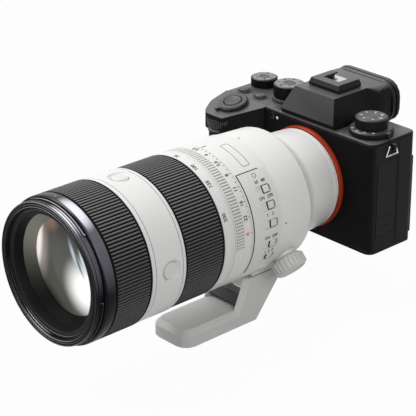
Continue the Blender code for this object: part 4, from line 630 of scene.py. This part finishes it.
# front ring with its thread and hood groove
frontRing = {"back": 187.25, "side": 43.7, "hood": 194.4, "groove": 41.4, "lip": 42.0, "front": 200.0,
             "thread": 38.5}
back, rim, hood, groove, lip, front, bore = frontRing.values()
thread = []
for step in range(2):
    place = 199.2 - step * 0.6
    thread += [(bore, place, 0), (38.15, place - 0.3, 0)]
frontShape = lathe(eased([(39.7, back, 0), (rim, back, 0.4), (rim, 193.2, 0.7), (43.0, hood, 0.25),
                          (groove, hood, 0.1), (groove, 196.5, 0.1), (lip, 196.5, 0.12), (lip, 197.4, 0.1),
                          (41.7, 197.6, 0.1), (41.7, 197.9, 0.1), (lip, 198.1, 0.1), (lip, 199.4, 0.3),
                          (41.3, front, 0.2), (40.6, front, 0.1), (40.4, 199.7, 0.05), (40.1, 199.7, 0.05),
                          (39.9, front, 0.1), (39.0, front, 0.2), (bore, 199.4, 0.1), *thread,
                          (bore, 192.7, 0), (39.7, 192.7, 0)], 2), 180)
addPiece("front_ring_skin", frontShape, frontSatin, "lens", ("front_ring",), lensFrame)
mouth = lathe(eased([(38.45, 192.7, 0), (38.45, 197.9, 0.1), (36.9, 197.9, 0.05), (36.7, 197.6, 0.05),
                     (36.4, 197.6, 0.05), (36.2, 197.9, 0.05), (34.6, 197.9, 0.2), (34.1, 197.2, 0.1),
                     (33.2, 191.3, 0), (36.3, 191.3, 0), (36.3, 192.7, 0)], 2), 180)
addPiece("front_mouth", mouth, innerBlack, "lens", (), lensFrame)
lipEdge = greyLook("lipEdge", 0.008, 0.012, 0.35, 0.2, 0.03)
# painted highlight: the edge rings turn pale towards the top and bottom of the lip
height = lipEdge.axis(2) - axisHeight
paintedLipHighlight = lipEdge.node("ShaderNodeMapRange", {"interpolation_type": "SMOOTHSTEP"}, {
    "Value": height * height, "From Min": (16 * mm) ** 2, "From Max": (40 * mm) ** 2})
lipEdge.lift(paintedLipHighlight, tint(0.30, 0.30, 0.30))
edges = bmesh.new()
for inner, outer, top in ((41.35, 41.75, 200.02), (40.0, 40.2, 199.95), (38.6, 38.95, 200.04),
                          (36.4, 36.7, 197.95)):
    absorb(edges, lathe(eased([(inner, top - 0.4, 0), (outer, top - 0.4, 0), (outer, top, 0.1),
                               (inner, top, 0.1)]), 144))
addPiece("lip_edges", edges, lipEdge, "lens", (), lensFrame)
lugs = bmesh.new()
for angle in (49, 169, 289):
    side = eased([(41.0, 195.1, 0), (42.6, 195.1, 0.2), (42.6, 196.0, 0.2), (41.0, 196.0, 0)])
    absorb(lugs, lathe(side, 24, True, 66, angle))
    absorb(lugs, spun(softBox((41.0, -0.4, 194.5), (42.6, 0.4, 196.0), 0.15, 1), angle))
addPiece("hood_lugs", lugs, lugGrey, "lens", (), lensFrame)
dot = onBarrel(lathe([(0, -0.1), (0.7, -0.1), (0.7, 0.07), (0, 0.07)], 16, False), 93.2, 190.5, 43.7)
addPiece("hood_index", dot, markRed, "lens", (), lensFrame)
funnel = lathe(eased([(34.4, 191.2, 0), (33.2, 191.2, 0.1), (28.8, 185.7, 0.1), (28.8, 185.2, 0),
                      (34.4, 185.2, 0)]), 144)
# painted light and shade: the funnel's colour runs from near black at the bottom to pale olive at the top
funnelLook = Look("funnelPaintedLight", Roughness=0.6, Specular_IOR_Level=0.08)
height = funnelLook.axis(2) - axisHeight
lit = funnelLook.node("ShaderNodeMapRange", {"interpolation_type": "SMOOTHSTEP"}, {
    "Value": height, "From Min": -30 * mm, "From Max": 26 * mm})
funnelLook.set(Base_Color=funnelLook.blend(lit ** 1.4, tint(0.004, 0.004, 0.004), tint(0.44, 0.44, 0.38)))
addPiece("front_funnel", funnel, funnelLook, "lens", (), lensFrame)

# front glass: a dark coated dome with painted reflections laid into its colour, which its emission also
# makes glow
glassLook = Look("frontGlass", Roughness=0.2, Specular_IOR_Level=0.05, Coat_Weight=0.08,
                 Coat_Roughness=0.03, Emission_Strength=0.65)


def patch(look, x, z, wide, tall, tilt, core):  # 1 in the middle of an oval on the glass, 0 outside
    inside = look.node("ShaderNodeMapping", {"vector_type": "TEXTURE"}, {
        0: look.place(), 1: (x * mm, 0, z * mm + axisHeight), 2: (0, math.radians(tilt), 0),
        3: (wide * mm, 1000, tall * mm)})
    far = look.node("ShaderNodeVectorMath", {"operation": "LENGTH"}, {0: inside}, "Value")
    return look.node("ShaderNodeMapRange", {"interpolation_type": "SMOOTHSTEP"}, {
        "Value": far, "From Min": 1.0, "From Max": core})


# painted reflections and shade: ovals of colour, from near black to white, laid over a dark olive ground
shade = tint(0.075, 0.075, 0.066)
paintedReflections = ((-22, -32, 26, 20, 20, 0.2, tint(0.006, 0.006, 0.005)),
               (-3, 24, 16, 11, 0, 0.2, tint(0.055, 0.05, 0.05)),
               (-15, 24, 10, 9, 0, 0.1, tint(0.26, 0.16, 0.13)),
               (-27, 4, 15, 26, 8, 0.1, tint(0.42, 0.37, 0.34)),
               (-28, 6, 7, 20, 8, 0.3, tint(1.0, 0.93, 0.88)),
               (18, -9, 22, 25, 0, 0.2, tint(1.0, 1.0, 0.99)),
               (8, 10, 2.2, 13, -32, 0.1, tint(0.45, 0.52, 0.60)),
               (12, 6, 1.3, 12, -30, 0.1, tint(0.10, 0.13, 0.15)),
               (15, 9, 1.6, 11, -30, 0.1, tint(0.62, 0.70, 0.78)),
               (8, -30, 12, 6, 0, 0.1, tint(0.10, 0.10, 0.085)))
for x, z, wide, tall, tilt, core, colour in paintedReflections:
    shade = glassLook.blend(patch(glassLook, x, z, wide, tall, tilt, core), shade, colour)
glassLook.set(Base_Color=shade, Emission_Color=shade)
dome = [(30.2 * share / 10, 184.2 + 4 * (1 - share * share / 100), 0) for share in range(10, -1, -1)]
glassShape = lathe(eased([(0, 178.0, 0), (30.2, 178.0, 0), *dome]), 96, False)
addPiece("front_glass", glassShape, glassLook, "lens", ("front_element",), lensFrame)
print("front ring and glass made")


# casing
casing = {"front_shell": (bodyPaint, "body_black", 0.5), "rear_cover": (bodyPaint, "body_black", 0.5),
          "top_cover": (deckPaint, "body_black", 0.5), "base_plate": (bodyPaint, "body_black", 0.4),
          "grip": (gripSkin, "grip_rubber", 0.7), "hot_shoe": (controlBlack, "body_black", 0.25),
          "eyecup": (controlBlack, "black_rubber", 0.4), "eyepiece": (screenGloss, "body_black", 0.3)}
for node, (look, part, width) in casing.items():
    softNode(node, look, "camera", width)
movable = {"power_lever": (controlBlack, "control_black"),
           "focus_mode_lever": (controlBlack, "control_black"),
           "menu_button": (controlBlack, "control_black"), "af_on_button": (controlBlack, "control_black"),
           "centre_button": (controlBlack, "control_black"),
           "lens_release_button": (controlBlack, "control_black"), "joystick": (ribRubber, "black_rubber"),
           "monitor_arm": (controlBlack, "monitor_black"), "monitor": (controlBlack, "monitor_black"),
           "port_door": (bodyPaint, "body_black"), "terminal_door": (bodyPaint, "body_black"),
           "card_door": (bodyPaint, "body_black"), "battery_door": (bodyPaint, "body_black"),
           "strap_ring_left": (steel, "mount_steel"), "strap_ring_right": (steel, "mount_steel")}
for node, (look, part) in movable.items():
    softNode(node, look, node, 0.3)
trim = lathe(eased([(30.9, -2.7, 0), (32.6, -2.7, 0), (32.6, -2.2, 0.1), (32.42, -1.4, 0), (32.2, -1.3, 0),
                    (32.17, -1.1, 0), (32.35, -1.0, 0), (32.1, 0, 0.15), (31.8, 0, 0), (31.7, -0.25, 0),
                    (31.4, -0.25, 0), (31.3, 0, 0), (30.9, 0, 0)]), 144)
addPiece("mount_trim_skin", trim, orangeRing, "camera", ("mount_trim",), lensFrame)
inside = {"body_mount": steel, "image_sensor": innerBlack, "main_board": innerBlack,
          "battery": controlBlack, "zoom_group": screenGloss, "focus_group": screenGloss}
for node, look in inside.items():
    nodes[node].data.materials.clear()
    nodes[node].data.materials.append(look.material)
print("casing made")


# dials: a core with ribs, a plate with marks and a middle button
deck = 36.6


def standing(x, y, z=0.0):
    return bodyFrame @ Matrix.Translation((x * mm, y * mm, z * mm))


def knurled(low, high, radius, ribs, width, depth=0.35, bore=0.0):
    side = [(bore, low, 0), (radius - depth, low, 0.2), (radius - depth, high - 0.5, 0.2),
            (radius - depth - 0.5, high, 0.2), (bore, high, 0)]
    core = lathe(eased(side), 96, bore > 0)
    return absorb(core, around(softBox((radius - depth - 0.4, -width / 2, low + 0.4),
                                       (radius, width / 2, high - 0.5), 0.1, 1), ribs))


def flatRing(inner, outer, low, high):
    return lathe(eased([(inner, low, 0), (outer, low, 0), (outer, high, 0.06), (inner, high, 0.06)], 1), 64)


def ringOfWords(words, radius, height, top, start, step):
    out = bmesh.new()
    for index, word in enumerate(words):
        turn = Matrix.Rotation(math.radians(start + index * step), 4, "Z")
        spot = turn @ Matrix.Translation((0, radius * mm, top * mm))
        absorb(out, moved(lettering(word, height, 0.05, 0.06), spot))
    return out


dials = {
    "exposure_dial": {"at": (-64.5, 30.0), "low": deck, "top": 42.2, "radius": 8.7, "ribs": 54,
                      "plate": dialSilver, "words": ["0", "1", "2", "3", "3", "2", "1"], "ink": markBlack,
                      "button": 3.3},
    "mode_dial": {"at": (-34.4, 22.6), "low": deck + 2.2, "top": 47.3, "radius": 10.1, "ribs": 60,
                  "plate": dialSilver, "words": ["P", "A", "S", "M", "1", "2", "3"], "ink": markBlack,
                  "button": 4.0},
    "drive_dial": {"at": (39.8, 17.8), "low": 40.95, "top": 47.25, "radius": 10.0, "ribs": 72,
                   "plate": controlBlack, "words": ["S", "1", "2", "3", "L", "M", "H"], "ink": markWhite,
                   "button": 3.4}}
for node, dial in dials.items():
    place = standing(*dial["at"])
    radius, top, button = dial["radius"], dial["top"], dial["button"]
    skin = knurled(dial["low"], top, radius, dial["ribs"], 0.5)
    addPiece(node + "_skin", skin, controlBlack, node, (node,), place)
    addPiece(node + "_plate", flatRing(button + 0.5, radius - 1.3, top - 0.2, top + 0.1), dial["plate"],
             node, (), place)
    words = ringOfWords(dial["words"], (radius - 0.8 + button) / 2, 1.9, top + 0.12, 20,
                        360 / len(dial["words"]))
    addPiece(node + "_words", words, dial["ink"], node, (), place)
    cap = lathe(eased([(0, top - 0.3, 0), (button, top - 0.3, 0), (button, top + 0.25, 0.2),
                       (button - 0.6, top + 0.3, 0.1), (button - 0.8, top + 0.15, 0.05),
                       (0, top + 0.15, 0)]), 48, False)
    addPiece(node + "_middle", cap, controlBlack, node, (), place)
    addPiece(node + "_circle", flatRing(button + 0.1, button + 0.4, top - 0.1, top + 0.16), dialSilver,
             node, (), place)
place = standing(*dials["mode_dial"]["at"])
base = lathe(eased([(0, deck, 0), (10.9, deck, 0.2), (10.9, deck + 2.2, 0.4), (0, deck + 2.2, 0)]), 96,
             False)
addPiece("mode_dial_base", base, controlGrey, "mode_dial", (), place)
place = standing(*dials["drive_dial"]["at"])
comb = around(softBox((12.9, -0.22, deck + 0.9), (13.55, 0.22, deck + 3.0), 0.08, 1), 90)
addPiece("focus_lever_ribs", comb, controlBlack, "focus_mode_lever", (), place)
words = ringOfWords(["S", "A", "C", "M"], 11.9, 1.5, deck + 4.02, 150, 26)
addPiece("focus_lever_words", words, markWhite, "focus_mode_lever", (), place)

# shutter button, front and rear dials, and the two buttons on the deck
lean = math.radians(13.8)


def onSlope(x, y):
    height = 36.3 - (5.0 - y) * math.tan(lean)
    return standing(x, y, height) @ Matrix.Rotation(lean, 4, "X")


release = lathe(eased([(0, 0.2, 0), (5.6, 0.2, 0.1), (5.6, 2.7, 0.4), (5.0, 3.2, 0.2), (4.3, 3.1, 0),
                       (2.6, 2.8, 0), (0, 2.65, 0)]), 64, False)
addPiece("shutter_button_skin", release, controlGrey, "shutter_button",
         ("shutter_button",), onSlope(-56.9, -4.8))
addPiece("power_lever_ribs", around(softBox((9.5, -0.25, 0.7), (10.15, 0.25, 2.2), 0.1, 1), 12, 60),
         controlGrey, "power_lever", (),
         onSlope(-56.9, -4.8) @ Matrix.Rotation(math.radians(-120), 4, "Z"))
frontDial = {"x": -58.0, "proud": 4.0, "radius": 9.5, "low": -7.9, "high": -2.6, "nose": -20.8}
dialBehind = frontDial["nose"] + (frontDial["radius"] - frontDial["proud"]) / math.cos(lean)
low, high = frontDial["low"], frontDial["high"]
# painted highlight: the ribs take a lighter grey than the near-black core they stand on
frontCore = lathe(eased([(0, low, 0), (9.0, low, 0.3), (9.0, high, 0.3), (0, high, 0)]), 96, False)
addPiece("front_dial_core", frontCore,
         innerBlack, "front_dial", ("front_dial",), onSlope(frontDial["x"], dialBehind))
addPiece("front_dial_ribs", around(softBox((8.6, -0.34, -7.5), (9.5, 0.34, -3.0), 0.15, 1), 44),
         controlGrey, "front_dial", (), onSlope(frontDial["x"], dialBehind))
rearBox = [Vector(corner) - Vector((0, mountAt, axisHeight)) for corner in nodes["rear_dial"].bound_box]
rearLow, rearHigh = min(v.z for v in rearBox) / mm, max(v.z for v in rearBox) / mm
addPiece("rear_dial_skin", knurled(rearLow, rearHigh, 7.0, 46, 0.5), controlBlack, "rear_dial",
         ("rear_dial",), standing(-54, 36))
for node, x, y in (("top_button_near", -50.0, 12.2), ("top_button_far", -65.0, 12.8)):
    cap = lathe(eased([(0, 35.2, 0), (3.5, 35.2, 0), (3.5, 37.7, 0.4), (2.8, 38.2, 0.3), (0, 38.35, 0)]),
                48, False)
    addPiece(node + "_cap", cap, controlGrey, node, (node,), standing(x, y))
    addPiece(node + "_seat", flatRing(3.95, 5.0, 36.2, 36.75), controlBlack, "camera", (),
             standing(x, y))
print("dials and buttons made")


# back of the camera
def facingBack(x, z, y=41.0):  # local Z runs back from the rear cover
    return standing(x, y, z) @ Matrix.Rotation(math.radians(-90), 4, "X")


wheel = knurled(0.3, 1.9, 12.5, 84, 0.45, 0.35, 5.35)
addPiece("control_wheel_skin", wheel, controlBlack, "control_wheel", ("control_wheel",),
         facingBack(-50, -9))
stick = around(softBox((0.9, -0.2, 0), (3.4, 0.2, 0.25), 0.08, 1), 12)
addPiece("joystick_ribs", stick, controlGrey, "joystick", (), facingBack(-46, 14, 44.95))
screen = softBox((-21, 44.7, -30), (49, 44.88, 15), 0.1, 1)
addPiece("monitor_screen", screen, screenGloss, "monitor", (), bodyFrame)
upright = Matrix.Rotation(math.pi, 4, "Z")
words = absorb(moved(lettering("MENU", 1.6), facingBack(44, 23.2, 41.02) @ upright),
               moved(lettering("AF", 1.6), facingBack(-38, 31.2, 41.02) @ upright))
addPiece("rear_words", words, markWhite, "camera", ())

# seams, marks and small fittings
side = 55.4
lines = bmesh.new()
for low, high in (((25.3, -34), (25.8, 34)), ((8, -13.7), (25.2, -13.0)), ((10.2, -18.6), (12.8, -17.8)),
                  ((14.8, -19.4), (17.4, -18.6)), ((8, -25.6), (24.6, -25.1)), ((7.9, -36), (8.4, -25.2)),
                  ((24.2, -36), (24.7, -25.2)), ((25.8, 7.7), (38, 8.2))):
    absorb(lines, softBox((side - 0.1, *low), (side + 0.06, *high), 0))
addPiece("side_lines", lines, markBlack, "camera", (), bodyFrame)
face = 3.0
window = lathe(eased([(0, -0.3, 0), (2.4, -0.3, 0), (2.4, 0.1, 0.05), (1.9, 0.12, 0.05), (1.8, 0.03, 0),
                      (0, 0.06, 0)]), 40, False)
toFront = Matrix.Rotation(math.radians(90), 4, "X")
addPiece("assist_window", window, screenGloss, "camera", (),
         standing(-30.4, face, 31.6) @ toFront)
lamp = lathe(eased([(0, -0.3, 0), (0.95, -0.3, 0), (0.95, 0.12, 0.05), (0, 0.25, 0)]), 24, False)
addPiece("front_lamp", lamp, markWhite, "camera", (), standing(-25.5, face, 31.4) @ toFront)
shoePlate = softBox((-9.1, 24.4, 55.5), (9.1, 37.5, 55.75), 0.1, 1)
addPiece("shoe_plate", shoePlate, steel, "camera", (), bodyFrame)
bush = flatRing(3.2, 4.6, -36.5, -36.3)
addPiece("tripod_bush", bush, steel, "camera", (), standing(0, 18))
print("back and fittings made")


# camera, floor and light
eye = Vector((0.67976, -0.62585, 0.49362))
azimuth, elevation, roll = math.radians(47.18), math.radians(24.19), math.radians(-0.10)
back = Vector((math.sin(azimuth) * math.cos(elevation), -math.cos(azimuth) * math.cos(elevation),
               math.sin(elevation)))
right = Vector((math.cos(azimuth), math.sin(azimuth), 0))
up = back.cross(right)
stand = Matrix((right, up, back)).transposed() @ Matrix.Rotation(roll, 3, "Z")
viewer = bpy.data.cameras.new("viewer")
viewer.lens = 148.55
viewer.sensor_width = 36
viewer.clip_start = 0.01
viewerObject = bpy.data.objects.new("viewer", viewer)
viewerObject.matrix_world = Matrix.Translation(eye) @ stand.to_4x4()
scene.collection.objects.link(viewerObject)
scene.camera = viewerObject

floorMesh = bmesh.new()
bmesh.ops.create_grid(floorMesh, x_segments=1, y_segments=1, size=6.0)
floorLook = Look("paleFloor", Roughness=0.9, Specular_IOR_Level=0.1)
floorLook.set(Base_Color=floorLook.blend(floorLook.noise(3), tint(0.33, 0.33, 0.33),
                                         tint(0.37, 0.37, 0.37)))
white = floorLook.node("ShaderNodeEmission", None, {"Color": tint(1, 1, 1), "Strength": 1.0})
straight = [floorLook.node("ShaderNodeLightPath", out=ray)
            for ray in ("Is Camera Ray", "Is Glossy Ray", "Is Transmission Ray")]
anySeen = straight[0].calc("MAXIMUM", straight[0].calc("MAXIMUM", straight[0], straight[1]), straight[2])
mixed = floorLook.node("ShaderNodeMixShader", None, {0: 0.97 * anySeen, 2: white})
floorLook.tree.links.new(floorLook.shader.outputs[0], mixed.socket.node.inputs[1])
floorLook.tree.links.new(mixed.socket, floorLook.tree.nodes["Material Output"].inputs["Surface"])
floor = looseObject(floorMesh, "floor")
floor.data.materials.append(floorLook.material)

world = bpy.data.worlds.new("studio")
scene.world = world
world.use_nodes = True
tree = world.node_tree
path = tree.nodes.new("ShaderNodeLightPath")
plain = tree.nodes["Background"]
plain.inputs["Color"].default_value = tint(1, 1, 1)
seen = tree.nodes.new("ShaderNodeMath")
seen.operation = "MAXIMUM"
tree.links.new(path.outputs["Is Camera Ray"], seen.inputs[0])
tree.links.new(path.outputs["Is Glossy Ray"], seen.inputs[1])
alsoSeen = tree.nodes.new("ShaderNodeMath")
alsoSeen.operation = "MAXIMUM"
tree.links.new(seen.outputs[0], alsoSeen.inputs[0])
tree.links.new(path.outputs["Is Transmission Ray"], alsoSeen.inputs[1])
level = tree.nodes.new("ShaderNodeMapRange")
level.inputs["To Min"].default_value = 0.35
level.inputs["To Max"].default_value = 1.0
tree.links.new(alsoSeen.outputs[0], level.inputs["Value"])
tree.links.new(level.outputs["Result"], plain.inputs["Strength"])


def softLight(name, place, aim, size, power):
    lamp = bpy.data.lights.new(name, "AREA")
    lamp.shape = "RECTANGLE"
    lamp.size, lamp.size_y = size
    lamp.energy = power
    thing = bpy.data.objects.new(name, lamp)
    thing.location = place
    thing.rotation_euler = (Vector(aim) - Vector(place)).to_track_quat("-Z", "Y").to_euler()
    scene.collection.objects.link(thing)


sun = bpy.data.lights.new("sky", "SUN")
sun.energy = 2.8
sun.angle = math.radians(45)
sunObject = bpy.data.objects.new("sky", sun)
sunObject.rotation_euler = Vector((0.5, 0.2, -0.84)).to_track_quat("-Z", "Y").to_euler()
scene.collection.objects.link(sunObject)
softLight("sideBox", (1.3, -0.5, 0.9), (0, 0.0, 0.08), (0.8, 0.8), 9)
scene.view_settings.view_transform = "Standard"
print("studio made")
